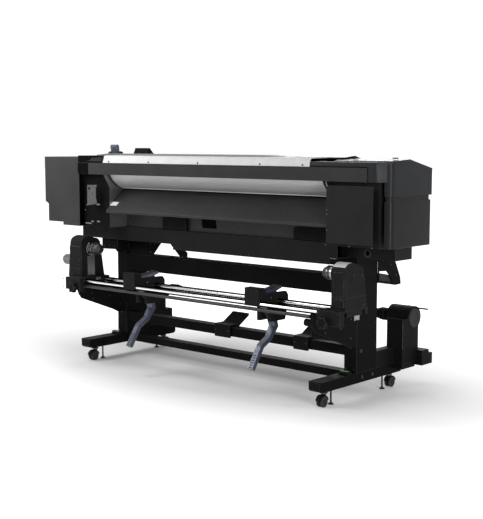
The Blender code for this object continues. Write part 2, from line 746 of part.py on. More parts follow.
def make_left_cover():
    """End housing, open towards the machine, with two ears for the loading lever."""

    def plan(wall):
        side = -HALF + wall
        front = LEFT_FRONT - wall
        edge = LEFT_COVER_X if wall == 0 else LEFT_COVER_X + 0.02
        return [
            (edge, -0.350 + wall),
            (edge, front),
            (-HALF + 0.120 + wall * 0.41, front),
            (side, LEFT_FRONT - 0.130 - wall * 0.41),
            (side, -0.350 + wall),
        ]

    def rear_view(wall):
        edge = LEFT_COVER_X + 0.001 if wall == 0 else LEFT_COVER_X + 0.03
        return [
            (-HALF + wall, LEFT_TOP - wall),
            (edge, LEFT_TOP - wall),
            (edge, BASE_TOP + GAP + wall),
            (-HALF + 0.176 + wall, BASE_TOP + GAP + wall),
            (-HALF + 0.176 + wall, BASE_TOP + 0.019 + wall),
            (-HALF + 0.031 + wall, BASE_TOP + 0.019 + wall),
            (-HALF + 0.031 + wall, FRAME_TOP - 0.195 + wall * 0.8),
            (-HALF + wall, FRAME_TOP - 0.180 + wall * 0.8),
        ]

    low, high = BASE_TOP - 0.05, LEFT_TOP + 0.05
    shell = prism("left_cover", "grey_paint", plan(0), "Z", low, high)
    combine(shell, prism("left_steps", None, rear_view(0), "Y", -0.5, 0.5), "INTERSECT")
    hollow = prism("left_hollow", None, plan(COVER_T), "Z", low, high)
    combine(hollow, prism("left_hollow_steps", None, rear_view(COVER_T), "Y", -0.5, 0.5), "INTERSECT")
    cut(shell, hollow)
    axis = (LOAD_Y, LOAD_AXIS_Z)
    root = [(LOAD_Y - CHEEK_R, LEFT_TOP - 0.003), (LOAD_Y + CHEEK_R, LEFT_TOP - 0.003)]
    ear = arc(axis, CHEEK_R, 0, 180, 10) + root
    ears = ((LOAD_X[0] - GAP - CHEEK_T, LOAD_X[0] - GAP), (LOAD_X[1] + GAP, LOAD_X[1] + GAP + CHEEK_T))
    for tag, reach in zip(("outer", "inner"), ears):
        join(shell, prism(f"ear_{tag}", None, ear, "X", *reach))
        cut(shell, pin_hole(f"ear_hole_{tag}", "X", axis, 0.005 + PIN_FIT, reach[0] - 0.01, reach[1] + 0.01))


def make_right_cover():
    """Lower right end cover: a wrapped wall with a rounded rear corner and an inset neck."""
    corner = arc((HALF - CORNER_R, CAP_REAR + CORNER_R), CORNER_R, -90, 0, 6)
    chamfer = BODY_FRONT - 0.057
    run = [(RIGHT_FRAME_X[1] + 0.020, CAP_REAR)] + corner
    run += [(HALF, 0.046), (HALF - chamfer * 0.98, BODY_FRONT), (RIGHT_FRAME_X[0], BODY_FRONT)]
    low, high = COVER_GAP_Z
    body = prism("right_cover", "black_plastic", folded(run, RIGHT_COVER_T), "Z", BASE_TOP + 0.001, low)
    neck = folded(inset(run, 0.008), RIGHT_COVER_T - 0.008)
    join(body, prism("right_neck", None, neck, "Z", low - 0.006, high - GAP))


def make_right_cap():
    """Upper right end cap: hollow, open below, with a band that frames the rear beam's end."""
    chamfer = BODY_FRONT - 0.057
    left_edge = RIGHT_FRAME_X[0] + 0.004

    def side_view(wall):
        low = COVER_GAP_Z[1] if wall == 0 else COVER_GAP_Z[1] - 0.05
        return [
            (CAP_REAR + wall, low),
            (CAP_REAR + wall, BODY_TOP - 0.010 - wall * 0.6),
            (CAP_REAR + 0.018 + wall * 0.6, BODY_TOP + 0.008 - wall),
            (-0.150, BODY_TOP + 0.016 - wall),
            (0.057, BODY_TOP - 0.031 - wall),
            (BODY_FRONT - 0.005 - wall, BODY_TOP - 0.095 - wall * 0.6),
            (BODY_FRONT - wall, BODY_TOP - 0.110 - wall * 0.4),
            (BODY_FRONT - wall, low),
        ]

    def plan(wall):
        corner = arc((HALF - CORNER_R, CAP_REAR + CORNER_R), CORNER_R - wall, -90, 0, 6)
        edge = left_edge if wall == 0 else left_edge - 0.03
        front = BODY_FRONT + 0.001
        return [(edge, CAP_REAR + wall - 0.001)] + corner + [
            (HALF - wall, 0.057 - wall * 0.4),
            (HALF - chamfer * 0.98 - wall * 0.4, front - wall),
            (edge, front - wall),
        ]

    low, high = COVER_GAP_Z[1] - 0.08, BODY_TOP + 0.10
    cap = prism("right_cap", "grey_paint", side_view(0), "X", left_edge, HALF + 0.01)
    combine(cap, prism("cap_plan", None, plan(0), "Z", low, high), "INTERSECT")
    hollow = prism("cap_hollow", None, side_view(COVER_T), "X", left_edge - 0.02, HALF + 0.01)
    combine(hollow, prism("cap_hollow_plan", None, plan(COVER_T), "Z", low, high), "INTERSECT")
    cut(cap, hollow)
    notch_y = (CAP_REAR - 0.05, -0.200)
    low = COVER_GAP_Z[1] - 0.01
    frame_x = (left_edge - 0.03, RIGHT_FRAME_X[1] + 0.020)
    cut(cap, box("frame_notch", None, frame_x, notch_y, (low, FRAME_TOP + GAP)))
    beam_x = (left_edge - 0.03, RIGHT_FRAME_X[1] - 0.050)
    cut(cap, box("beam_notch", None, beam_x, (notch_y[0], BEAM_FRONT + GAP), (low, BEAM_TOP + GAP)))
    band_y = (BEAM_REAR + 0.005, CAP_REAR + 0.002)
    band_top = BODY_TOP + 0.003
    band_x = (STRIP_RIGHT + GAP, RIGHT_FRAME_X[1])
    join(cap, box("cap_band", None, band_x, band_y, (BEAM_TOP + 0.0045, band_top)))
    drop = [
        (RIGHT_FRAME_X[1] - 0.050, band_y[0] + 0.0005),
        (RIGHT_FRAME_X[1] - 0.0005, band_y[0] + 0.0005),
        (RIGHT_FRAME_X[1] + 0.036, band_y[1]),
        (RIGHT_FRAME_X[1] - 0.050, band_y[1] - 0.0005),
    ]
    join(cap, prism("cap_drop", None, drop, "Z", FRAME_TOP + 0.0005, band_top - 0.001))


def make_front_cover():
    """Hinged lid over the platen, with its hinge barrel along the strip's front edge."""
    run = [
        (0.245, PLATEN_Z - 0.100),
        (0.245, PLATEN_Z + 0.045),
        (0.215, PLATEN_Z + 0.075),
        (0.060, PLATEN_Z + 0.145),
        (-0.110, HINGE[1] + HINGE_R + 0.008),
        (HINGE[0], HINGE[1] + HINGE_R),
    ]
    pivot = (0.0, *HINGE)
    lid = prism("front_cover", "grey_paint", folded(run, COVER_T), "X", *FRONT_SPAN, pivot=pivot)
    barrel = pin_hole("lid_barrel", "X", HINGE, HINGE_R, FRONT_SPAN[0], FRONT_SPAN[1])
    join(lid, barrel)


def make_after_guide():
    """Curved apron that leads the printed roll down the front, with a bracket at each end."""
    run = [
        (BASE_FRONT + GAP, BASE_Z + 0.004),
        (0.272, BASE_Z - 0.058),
        (0.283, BASE_Z - 0.048),
        (0.238, PLATEN_Z - 0.170),
        (0.225, PLATEN_Z - 0.090),
        (0.190, PLATEN_Z - 0.035),
        (PLATEN_FRONT + GAP + 0.0011, PLATEN_Z - 0.004),
    ]
    apron = prism("after_guide", "black_paint", folded(run, SHEET_T), "X", *FRONT_SPAN)
    plates = {
        "right": [
            (BASE_FRONT + GAP, BASE_Z + 0.002),
            (0.286, BASE_Z - 0.053),
            (0.334, BASE_Z - 0.143),
            (0.339, BASE_Z - 0.179),
            (0.284, BASE_Z - 0.181),
            (BASE_FRONT + GAP, BASE_Z - 0.150),
        ],
        "left": [
            (BASE_FRONT + GAP, BASE_Z + 0.002),
            (0.220, BASE_Z - 0.034),
            (0.220, BASE_Z - 0.150),
            (BASE_FRONT + GAP, BASE_Z - 0.158),
        ],
    }
    edges = {"left": FRONT_SPAN[0] + 0.002, "right": FRONT_SPAN[1] - 0.008}
    for tag, outline in plates.items():
        join(apron, prism(f"end_plate_{tag}", None, outline, "X", edges[tag], edges[tag] + 0.006))
    slot_x = (edges["right"] - 0.01, edges["right"] + 0.02)
    slot_z = (BASE_Z - 0.108, BASE_Z - 0.099)
    slot = box("plate_slot", None, slot_x, (0.140, 0.180), slot_z)
    cut(apron, slot)
    tray = [(0.336, BASE_Z - 0.179), (0.284, BASE_Z - 0.180), (0.125, BASE_Z - 0.151)]
    tray_x = (edges["left"] + 0.001, edges["right"] + 0.001)
    join(apron, prism("guide_tray", None, folded(tray[::-1], SHEET_T), "X", *tray_x))


def make_print_drive():
    y0, y1 = CARRIAGE_RAIL_Y
    z0 = FRAME_TOP
    z1 = z0 + CARRIAGE_RAIL_H
    rail_run = channel(y0, y1, z0, z1)
    reach = (LEFT_FRAME_X[1] - 0.020, RIGHT_FRAME_X[1] - 0.001)
    prism("carriage_rail", "steel", folded(rail_run, SHEET_T), "X", *reach)

    face = y1 + GAP
    back = y0 - GAP
    outline = [
        (face, PLATEN_Z + 0.012),
        (CARRIAGE_FRONT, PLATEN_Z + 0.012),
        (CARRIAGE_FRONT, z0 + 0.020),
        (0.050, z1 + 0.012),
        (back - 0.010, z1 + 0.012),
        (back - 0.010, z0 + 0.020),
        (back, z0 + 0.020),
        (back, z1 + GAP),
        (face, z1 + GAP),
    ]
    span = (CARRIAGE_PARK - CARRIAGE_W, CARRIAGE_PARK)
    prism("carriage", "black_plastic", outline, "X", *span, pivot=(CARRIAGE_PARK, 0.0, z0))

    left, right = PATH_X
    stub = SHEET_T + 0.006
    feed = [
        (left - stub, 0.0),
        (left - stub, 0.006),
        (left + GAP, 0.006),
        (left + GAP, FEED_R),
        (right - GAP, FEED_R),
        (right - GAP, 0.006),
        (right + stub, 0.006),
        (right + stub, 0.0),
    ]
    turned("feed_roller", "steel", feed, "X", FEED_AXIS, pivot=(0.0, *FEED_AXIS))

    ny, nz = PINCH_NOSE
    py, pz = PINCH_PIVOT
    slope = math.degrees(math.atan2(pz - nz, py - ny))
    bar = arc((ny, nz), PINCH_R, slope + 90, slope + 270, 10)
    bar += arc((py, pz), 0.008, slope - 90, slope + 90, 6)
    pivot = (0.0, *PINCH_PIVOT)
    pinch = prism("pinch_bar", "black_plastic", bar, "X", left + GAP, right - GAP, pivot=pivot)
    join(pinch, pin_hole("pinch_shaft", "X", PINCH_PIVOT, 0.005, left - stub, right + stub))


def make_operator_side():
    axis = (PANEL_Y, LEFT_TOP + GAP + PANEL_R)
    wedge = arc(axis, PANEL_R, 170, 270, 6)
    wedge += [
        (PANEL_Y + 0.066, LEFT_TOP + GAP),
        (PANEL_Y + 0.069, LEFT_TOP + 0.007),
        (PANEL_Y + 0.024, LEFT_TOP + 0.053),
        (PANEL_Y + 0.012, LEFT_TOP + 0.053),
    ]
    prism("control_panel", "black_plastic", wedge, "X", *PANEL_X, pivot=(PANEL_X[0], *axis))

    ay, az = LOAD_Y, LOAD_AXIS_Z
    paddle = arc((ay, az), LOAD_BARREL_R, 180, 360, 8)
    paddle += [(ay + 0.006, HEIGHT - 0.010), (ay, HEIGHT), (ay - 0.014, HEIGHT), (ay - 0.022, HEIGHT - 0.012)]
    pivot = (LOAD_X[0], ay, az)
    lever = prism("loading_lever", "blue_grey", paddle, "X", *LOAD_X, pivot=pivot)
    pin = (LOAD_X[0] - CHEEK_T + 0.004, LOAD_X[1] + CHEEK_T - 0.004)
    join(lever, pin_hole("loading_pin", "X", (ay, az), 0.005, *pin))


def make_body():
    make_base()
    make_platen()
    make_side_frames()
    make_rear_beam()
    make_strip()
    make_guide()
    make_feed_plate()
    make_left_cover()
    make_right_cover()
    make_right_cap()
    make_front_cover()
    make_after_guide()
    make_print_drive()
    make_operator_side()


# ---- Take-up ------------------------------------------------------------------------------
def make_drive():
    """Post on the front of the right foot, with a drum-shaped head that drives the core."""
    centre = (TAKE_Y, TAKE_Z)
    post = box("take_up_drive", "black_plastic", POST_X, POST_Y, (FOOT_TOP + GAP, TAKE_Z))
    skirt_x = (LEG_OUTER + GAP, POST_X[1] - 0.001)
    skirt_y = (POST_Y[0] + 0.001, POST_Y[1] - 0.030)
    join(post, box("drive_skirt", None, skirt_x, skirt_y, (FOOT_TOP - 0.030, FOOT_TOP + 0.02)))
    bracket_x = (POST_X[0] + 0.001, LEG_OUTER - 0.0005)
    bracket_z = (FOOT_TOP + GAP, BRACKET_TOP)
    join(post, box("drive_bracket", None, bracket_x, (LEG_FRONT + GAP, POST_Y[0] + 0.01), bracket_z))
    join(post, pin_hole("drive_drum", "X", centre, DRUM_R, *DRUM_X))
    tray_x = (POST_X[0] + 0.070, POST_X[1] + 0.040)
    join(post, box("drive_tray", None, tray_x, (POST_Y[1] - 0.020, FRONT), (0.120, 0.182)))
    shelf_x = (tray_x[0] + 0.001, tray_x[1] - 0.001)
    join(post, box("drive_shelf", None, shelf_x, (POST_Y[1] - 0.019, FRONT - 0.035), (0.140, 0.205)))
    rod = (TAKE_Y + 0.010, TAKE_Z + DRUM_R - 0.011)
    join(post, pin_hole("drive_rod", "X", rod, 0.0045, DRUM_X[1] - 0.02, DRUM_X[1] + 0.078))
    bore = (DRUM_X[0] - 0.01, DRUM_X[0] + SHAFT_DEPTH + GAP)
    cut(post, pin_hole("drive_bore", "X", centre, SHAFT_R + PIN_FIT, *bore))


def make_take_up_hub(name, face, side, reach, radius):
    """Hub that grips the take-up core, on a shaft in the head behind it."""
    steps = [
        (-SHAFT_DEPTH, 0.0),
        (-SHAFT_DEPTH, SHAFT_R),
        (GAP, SHAFT_R),
        (GAP, radius),
        (0.012, radius),
        (0.014, 0.8 * radius),
        (0.55 * reach, 0.76 * radius),
        (0.92 * reach, 0.46 * radius),
        (reach, 0.20 * radius),
        (reach, 0.0),
    ]
    profile = [(face - side * along, r) for along, r in steps]
    turned(name, "black_plastic", profile, "X", (TAKE_Y, TAKE_Z), pivot=(face, TAKE_Y, TAKE_Z))


def make_core_rest(tag, x, width):
    """Rest for an empty core: a saddle on the take-up beam with a sloping tongue in front."""
    low, top = TAKE_BEAM_Z
    rear, front = BAR_REAR - GAP, TAKE_BEAM_FRONT + GAP
    outline = [
        (rear - SADDLE_T, top + SADDLE_T),
        (rear - SADDLE_T, low - 0.008),
        (rear, low - 0.008),
        (rear, top + GAP),
        (front, top + GAP),
        (front, low - 0.008),
        (front + SADDLE_T, low - 0.008),
        (front + SADDLE_T, top),
        (front + 0.100, top + 0.050),
        (front + 0.100, top + 0.065),
        (front + 0.086, top + 0.067),
        (front, top + SADDLE_T),
    ]
    reach = (x - width / 2, x + width / 2)
    prism(f"core_rest_{tag}", "black_plastic", outline, "X", *reach, pivot=(x, 0.0, top))


def make_idler():
    """Post on the front of the left foot, with an arm that holds the core's free end."""
    low = FOOT_TOP + GAP
    rear = LEG_FRONT + 0.015
    outline = [
        (rear, low),
        (0.360, low),
        (0.360, 0.256),
        (0.300, 0.256),
        (0.300, TAKE_Z - 0.060),
        (TAKE_Y - 0.010, TAKE_Z - 0.016),
        (TAKE_Y - 0.010, TAKE_Z + 0.016),
        (0.290, TAKE_Z + 0.010),
        (rear, TAKE_Z - 0.010),
    ]
    x0, x1 = IDLER_X
    post = prism("take_up_idler", "black_plastic", outline, "X", x0, x1, pivot=(x0, 0.0, low))
    centre = (TAKE_Y, TAKE_Z)
    join(post, pin_hole("idler_head", "X", centre, IDLER_HEAD_R, x0 + 0.001, IDLER_FACE))
    bore = (IDLER_FACE - SHAFT_DEPTH - GAP, IDLER_FACE + 0.01)
    cut(post, pin_hole("idler_bore", "X", centre, SHAFT_R + PIN_FIT, *bore))


def make_take_up():
    make_drive()
    make_take_up_hub("drive_hub", DRUM_X[0], 1, 0.136, 0.046)
    for tag, x, width in zip(("left", "right"), REST_XS, REST_WS):
        make_core_rest(tag, x, width)
    make_idler()
    make_take_up_hub("idler_hub", IDLER_FACE, -1, 0.060, 0.020)


def main():
    clear_scene()
    make_stand()
    make_roll_feed()
    make_body()
    make_take_up()


main()
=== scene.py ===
"""Finished model of a wide roll printer on its stand: panels, fittings, finishes, stage and camera.

Every piece is built in metres around the printer's frame, whose boxes give all the places.
+X is the right end seen from the feed side, -Y is the feed side and +Z is up.
"""

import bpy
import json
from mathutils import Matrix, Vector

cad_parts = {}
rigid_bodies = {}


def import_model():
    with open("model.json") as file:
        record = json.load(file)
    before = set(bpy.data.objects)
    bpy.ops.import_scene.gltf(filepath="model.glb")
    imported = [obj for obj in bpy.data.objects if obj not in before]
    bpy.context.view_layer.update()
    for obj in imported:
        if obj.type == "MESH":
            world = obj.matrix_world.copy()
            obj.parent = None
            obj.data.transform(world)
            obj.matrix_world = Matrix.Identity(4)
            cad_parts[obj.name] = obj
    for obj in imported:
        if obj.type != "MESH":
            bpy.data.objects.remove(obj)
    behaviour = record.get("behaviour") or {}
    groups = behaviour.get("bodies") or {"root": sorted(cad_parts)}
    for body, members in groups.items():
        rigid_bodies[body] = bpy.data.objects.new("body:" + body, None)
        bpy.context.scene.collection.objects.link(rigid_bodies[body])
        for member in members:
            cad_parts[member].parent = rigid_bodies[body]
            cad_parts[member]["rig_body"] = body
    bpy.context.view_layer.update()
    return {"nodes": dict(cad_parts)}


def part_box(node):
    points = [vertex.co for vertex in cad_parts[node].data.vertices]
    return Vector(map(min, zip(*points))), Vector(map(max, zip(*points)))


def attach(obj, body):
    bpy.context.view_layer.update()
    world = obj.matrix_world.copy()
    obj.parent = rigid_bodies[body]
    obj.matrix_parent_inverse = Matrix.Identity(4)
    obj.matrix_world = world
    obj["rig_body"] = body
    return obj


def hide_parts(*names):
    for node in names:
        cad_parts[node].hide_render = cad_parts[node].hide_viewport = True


bl_info = {
    "name": "Roll Printer Dresser",
    "version": (1, 0, 0),
    "blender": (4, 5, 0),
    "location": "3D View > Sidebar > Roll Printer",
    "description": "Dresses the frame of a wide roll printer with panels, fittings and finishes",
    "category": "Object",
}

import json
import math

import bmesh
import bpy
from bpy.props import FloatProperty, FloatVectorProperty, IntProperty, PointerProperty
from mathutils import Matrix, Vector

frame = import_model()

GAP = 0.0003  # between a fitting and the surface under it
WELD = 1e-6
ROUND = 48  # sides of a turned piece
SHARP = math.radians(32)  # edges steeper than this are rounded or kept sharp
UP = Vector((0, 0, 1))
LEFT, RIGHT = Vector((-1, 0, 0)), Vector((1, 0, 0))
REAR, FRONT = Vector((0, -1, 0)), Vector((0, 1, 0))
SIDES = ("left", "right")
CORNERS = ("left_rear", "left_front", "right_rear", "right_front")


# ---- Settings -----------------------------------------------------------------------------
def colour(name, description, default):
    return FloatVectorProperty(
        name=name, description=description, default=default, subtype="COLOR", size=3, min=0, max=1
    )


def length(name, description, default):
    return FloatProperty(
        name=name, description=description, default=default, unit="LENGTH", min=0, precision=4
    )


class PrinterFinishes(bpy.types.PropertyGroup):
    frame_black: colour("Frame black", "Powder coat of the stand and sheet metal", (0.0075, 0.0075, 0.0078))
    plastic_black: colour("Plastic black", "Moulded covers, holders and supports", (0.0090, 0.0090, 0.0094))
    holder_black: colour("Holder black", "Moulded roll holders and supports", (0.0150, 0.0150, 0.0155))
    panel_black: colour("Panel black", "Powder coat of the base and right frame", (0.0135, 0.0135, 0.0138))
    feed_black: colour("Feed black", "Coating of the feed plate", (0.026, 0.026, 0.0265))
    housing_grey: colour("Housing grey", "Paint of the left end housing", (0.029, 0.029, 0.030))
    beam_grey: colour("Beam grey", "Paint of the rear beam", (0.027, 0.027, 0.028))
    cap_grey: colour("Cap grey", "Plastic of the right upper cap", (0.0205, 0.0213, 0.0240))
    cover_grey: colour("Cover grey", "Plastic of the right lower cover", (0.0135, 0.0135, 0.0142))
    strip_white: colour("Strip white", "Bright strip above the rear beam", (0.64, 0.64, 0.645))
    lever_blue: colour("Lever blue", "Paint of the levers", (0.060, 0.070, 0.105))
    # wear: colour that the edges blend towards, a painted highlight as well as wear.
    wear: colour("Wear", "Colour of rubbed edges", (0.110, 0.110, 0.112))
    level_green: colour("Level green", "Liquid of the spirit levels", (0.030, 0.090, 0.020))


class PrinterSizes(bpy.types.PropertyGroup):
    sheet_edge: length("Sheet edge", "Rounding of folded sheet metal", 0.0012)
    plastic_edge: length("Plastic edge", "Rounding of moulded covers", 0.0030)
    screw: length("Screw", "Head radius of the small screws", 0.0042)
    bolt: length("Bolt", "Head radius of the frame bolts", 0.0080)
    thread_pitch: length("Thread pitch", "Pitch of the levelling screws", 0.0020)
    rollers: IntProperty(name="Pinch rollers", description="Rollers on the pinch bar", default=10, min=2)
    holes: IntProperty(name="Platen holes", description="Suction holes along one row", default=40, min=2)


class PrinterStage(bpy.types.PropertyGroup):
    eye: FloatVectorProperty(
        name="Eye",
        description="Place of the camera",
        default=(4.155, -4.587, 1.36),
        subtype="XYZ",
        unit="LENGTH",
    )
    turn: FloatProperty(
        name="Turn",
        description="Angle of the view from straight on",
        default=math.radians(41.702),
        subtype="ANGLE",
    )
    tilt: FloatProperty(
        name="Tilt",
        description="Angle of the view below level",
        default=math.radians(6.294),
        subtype="ANGLE",
    )
    lens: FloatProperty(name="Lens", description="Focal length in millimetres", default=73.23, min=1)
    sky: FloatProperty(name="Sky", description="Strength of the light from all round", default=0.28, min=0)


def finishes():
    return bpy.context.scene.printer_finishes


def sizes():
    return bpy.context.scene.printer_sizes


def stage_settings():
    return bpy.context.scene.printer_stage


# ---- Finishes -----------------------------------------------------------------------------
class Recipe:
    """One finish in the making: its material, its shader and the nodes that feed it."""

    def __init__(self, name, base, roughness=0.5, metallic=0.0, specular=0.5):
        self.material = bpy.data.materials.new(name)
        self.material.use_nodes = True
        self.tree = self.material.node_tree
        self.shader = self.tree.nodes["Principled BSDF"]
        self.base = Vector(base)
        self.set("Base Color", (*base, 1.0))
        self.set("Roughness", roughness)
        self.set("Metallic", metallic)
        self.set("Specular IOR Level", specular)
        self.place = self.tree.nodes.new("ShaderNodeTexCoord").outputs["Object"]

    def set(self, socket, value):
        self.shader.inputs[socket].default_value = value

    def add(self, kind, inputs, **settings):
        node = self.tree.nodes.new(kind)
        for key, value in settings.items():
            setattr(node, key, value)
        for key, value in inputs.items():
            if isinstance(value, bpy.types.NodeSocket):
                self.tree.links.new(value, node.inputs[key])
            else:
                node.inputs[key].default_value = value
        return node

    def stretched(self, scale):
        return self.add("ShaderNodeMapping", {"Vector": self.place, "Scale": scale}).outputs["Vector"]

    def noise(self, scale, detail=2.0, place=None):
        inputs = {"Vector": place or self.place, "Scale": scale, "Detail": detail}
        return self.add("ShaderNodeTexNoise", inputs).outputs["Fac"]

    def cells(self, scale, output="Distance"):
        return self.add("ShaderNodeTexVoronoi", {"Vector": self.place, "Scale": scale}).outputs[output]

    def shade(self, mask, stops):
        """Feed the base colour from a mask through (position, colour) stops."""
        ramp = self.add("ShaderNodeValToRGB", {"Fac": mask})
        points = ramp.color_ramp.elements
        while len(points) < len(stops):
            points.new(0.5)
        for point, (position, tint) in zip(points, stops):
            point.position = position
            point.color = (*tint, 1.0)
        self.tree.links.new(ramp.outputs["Color"], self.shader.inputs["Base Color"])

    def mottle(self, scale, amount):
        """Vary the base colour up and down by a share of itself."""
        stops = [(0.30, self.base * (1 - amount)), (0.70, self.base * (1 + amount))]
        self.shade(self.noise(scale, 4.0), stops)

    def dull(self, mask, low, high):
        """Feed the roughness from a mask between two values."""
        inputs = {"Value": mask, "From Min": 0.3, "From Max": 0.7, "To Min": low, "To Max": high}
        spread = self.add("ShaderNodeMapRange", inputs)
        self.tree.links.new(spread.outputs["Result"], self.shader.inputs["Roughness"])

    def bump(self, height, strength, distance):
        bump = self.add("ShaderNodeBump", {"Height": height, "Strength": strength, "Distance": distance})
        self.tree.links.new(bump.outputs["Normal"], self.shader.inputs["Normal"])


def powder_coat(name, base, specular=0.015, roughness=(0.38, 0.50)):
    """Satin powder coat with a fine orange peel."""
    recipe = Recipe(name, base, specular=specular)
    recipe.mottle(5.0, 0.16)
    recipe.dull(recipe.noise(28.0, 5.0), *roughness)
    recipe.bump(recipe.noise(1100.0, 3.0), 0.22, 0.0003)
    return recipe.material


def moulded_plastic(name, base, specular=0.03, roughness=(0.44, 0.56)):
    """Moulded plastic with a fine spark-eroded grain."""
    recipe = Recipe(name, base, specular=specular)
    recipe.mottle(9.0, 0.10)
    recipe.dull(recipe.noise(35.0, 3.0), *roughness)
    recipe.bump(recipe.cells(1500.0), 0.30, 0.0002)
    return recipe.material


def worn_and_highlit_edge(name, base, share=0.5):
    """Edge of a painted or moulded piece, where handling shows in patches and a painted highlight lightens
    it.
    """
    recipe = Recipe(name, base, specular=0.12)
    wear_and_highlight_tone = Vector(finishes().wear)
    fresh = recipe.base
    worn_highlit_tone = fresh.lerp(wear_and_highlight_tone, share)
    # Painted highlight: the edge is 1.6 times lighter than the paint, with lighter patches of wear.
    recipe.shade(recipe.noise(45.0, 6.0), [(0.42, fresh * 1.6), (0.66, worn_highlit_tone)])
    recipe.dull(recipe.noise(120.0), 0.30, 0.46)
    recipe.bump(recipe.noise(900.0), 0.15, 0.0002)
    return recipe.material


def polished_steel():
    """Polished rail steel with a painted reflection: bright along its middle and dark above and below."""
    recipe = Recipe("polished_steel", (0.80, 0.80, 0.81), metallic=1.0)
    low, high = span("rear_rail")
    height = recipe.add("ShaderNodeSeparateXYZ", {"Vector": recipe.place}).outputs["Z"]
    across = recipe.add("ShaderNodeMapRange", {"Value": height, "From Min": low.z, "From Max": high.z})
    # Painted reflection: dark bands above and below the rail, a painted highlight along its middle.
    painted_dark_reflection, bright = recipe.base * 0.02, recipe.base
    stops = [(0.0, painted_dark_reflection), (0.34, painted_dark_reflection), (0.43, bright), (0.66, bright), (0.76, painted_dark_reflection), (1.0, painted_dark_reflection)]
    recipe.shade(across.outputs["Result"], stops)
    recipe.dull(recipe.noise(400.0, 3.0, recipe.stretched((0.01, 1.0, 1.0))), 0.12, 0.18)
    recipe.bump(recipe.noise(700.0, 2.0, recipe.stretched((0.01, 1.0, 1.0))), 0.02, 0.0001)
    recipe.set("Specular Tint", (0.08, 0.08, 0.08, 1.0))
    return recipe.material


def satin_steel(name, base):
    """Dark satin steel, drawn along its length."""
    recipe = Recipe(name, base, metallic=0.7)
    recipe.mottle(22.0, 0.12)
    recipe.dull(recipe.noise(500.0, 3.0, recipe.stretched((0.04, 1.0, 1.0))), 0.32, 0.46)
    recipe.bump(recipe.noise(900.0, 2.0, recipe.stretched((0.03, 1.0, 1.0))), 0.12, 0.0002)
    return recipe.material


def brushed_aluminium():
    """Guide sheet, brushed along the machine."""
    recipe = Recipe("brushed_aluminium", (0.50, 0.50, 0.51), metallic=0.25)
    grain = recipe.noise(900.0, 4.0, recipe.stretched((0.012, 1.0, 1.0)))
    recipe.shade(grain, [(0.30, recipe.base * 0.86), (0.70, recipe.base * 1.14)])
    recipe.dull(grain, 0.26, 0.44)
    recipe.bump(grain, 0.10, 0.0002)
    return recipe.material


def strip_paint():
    """White satin paint on the bright strip, with a little dust."""
    recipe = Recipe("strip_white", finishes().strip_white, specular=0.35)
    recipe.shade(recipe.noise(16.0, 6.0), [(0.34, recipe.base * 0.93), (0.62, recipe.base)])
    recipe.dull(recipe.noise(60.0), 0.34, 0.46)
    recipe.bump(recipe.noise(1200.0), 0.10, 0.0002)
    return recipe.material


def zinc_coat(name, base, metallic, scale, light, roughness):
    """Zinc-coated sheet with its crystal pattern."""
    recipe = Recipe(name, base, metallic=metallic)
    tone = recipe.add("ShaderNodeSeparateColor", {"Color": recipe.cells(scale, "Color")}).outputs[0]
    recipe.shade(tone, [(0.0, recipe.base * 0.80), (1.0, recipe.base * light)])
    recipe.dull(tone, *roughness)
    recipe.bump(recipe.noise(300.0), 0.08, 0.0002)
    return recipe.material


def rubber():
    """Matt rubber with a dusty bloom."""
    recipe = Recipe("rubber", (0.012, 0.012, 0.012), specular=0.12)
    recipe.shade(recipe.noise(70.0, 6.0), [(0.40, recipe.base), (0.75, recipe.base * 2.6)])
    recipe.dull(recipe.noise(90.0), 0.62, 0.80)
    recipe.bump(recipe.noise(1300.0, 4.0), 0.30, 0.0004)
    return recipe.material


def lever_paint():
    """Smooth metallic paint of the levers."""
    recipe = Recipe("lever_paint", finishes().lever_blue, metallic=0.25, specular=0.6)
    recipe.shade(recipe.noise(2200.0, 2.0), [(0.40, recipe.base * 0.90), (0.70, recipe.base * 1.35)])
    recipe.dull(recipe.noise(40.0, 4.0), 0.24, 0.36)
    recipe.bump(recipe.noise(700.0), 0.06, 0.0002)
    recipe.set("Coat Weight", 0.25)
    recipe.set("Coat Roughness", 0.15)
    return recipe.material


def blank_label():
    """Plain light label, slightly yellowed in patches."""
    recipe = Recipe("blank_label", (0.62, 0.62, 0.61))
    recipe.shade(recipe.noise(90.0, 5.0), [(0.35, recipe.base * 0.86), (0.70, recipe.base)])
    recipe.dull(recipe.noise(60.0), 0.34, 0.50)
    recipe.bump(recipe.noise(800.0), 0.06, 0.0001)
    return recipe.material


def smoked_window():
    """Dark smoked acrylic with fine wiping marks."""
    recipe = Recipe("smoked_window", (0.010, 0.011, 0.012), specular=0.5)
    recipe.mottle(4.0, 0.30)
    recipe.dull(recipe.noise(160.0, 4.0, recipe.stretched((0.15, 1.0, 1.0))), 0.04, 0.12)
    recipe.set("Coat Weight", 0.5)
    recipe.set("Coat Roughness", 0.04)
    return recipe.material


def button_plastic():
    recipe = Recipe("button_plastic", (0.16, 0.165, 0.17), specular=0.3)
    recipe.mottle(120.0, 0.12)
    recipe.dull(recipe.noise(90.0), 0.36, 0.48)
    recipe.bump(recipe.cells(1800.0), 0.20, 0.0001)
    return recipe.material


def grit():
    """Fine grit of the feed roller's gripping bands."""
    recipe = Recipe("grit", (0.24, 0.24, 0.23), metallic=0.4)
    recipe.shade(recipe.cells(2600.0), [(0.1, recipe.base * 0.55), (0.6, recipe.base * 1.3)])
    recipe.dull(recipe.noise(800.0), 0.50, 0.70)
    recipe.bump(recipe.cells(2600.0), 0.60, 0.0004)
    return recipe.material


def even(name, base, patches, roughness, bump=None, **looks):
    """Finish that only varies by plain noise.

    patches: scale and share of the colour patches. roughness: scale, detail, lowest, highest.
    bump: scale, strength, distance.
    """
    recipe = Recipe(name, base, **looks)
    recipe.mottle(*patches)
    scale, detail, low, high = roughness
    recipe.dull(recipe.noise(scale, detail), low, high)
    if bump:
        recipe.bump(recipe.noise(bump[0]), *bump[1:])
    return recipe.material
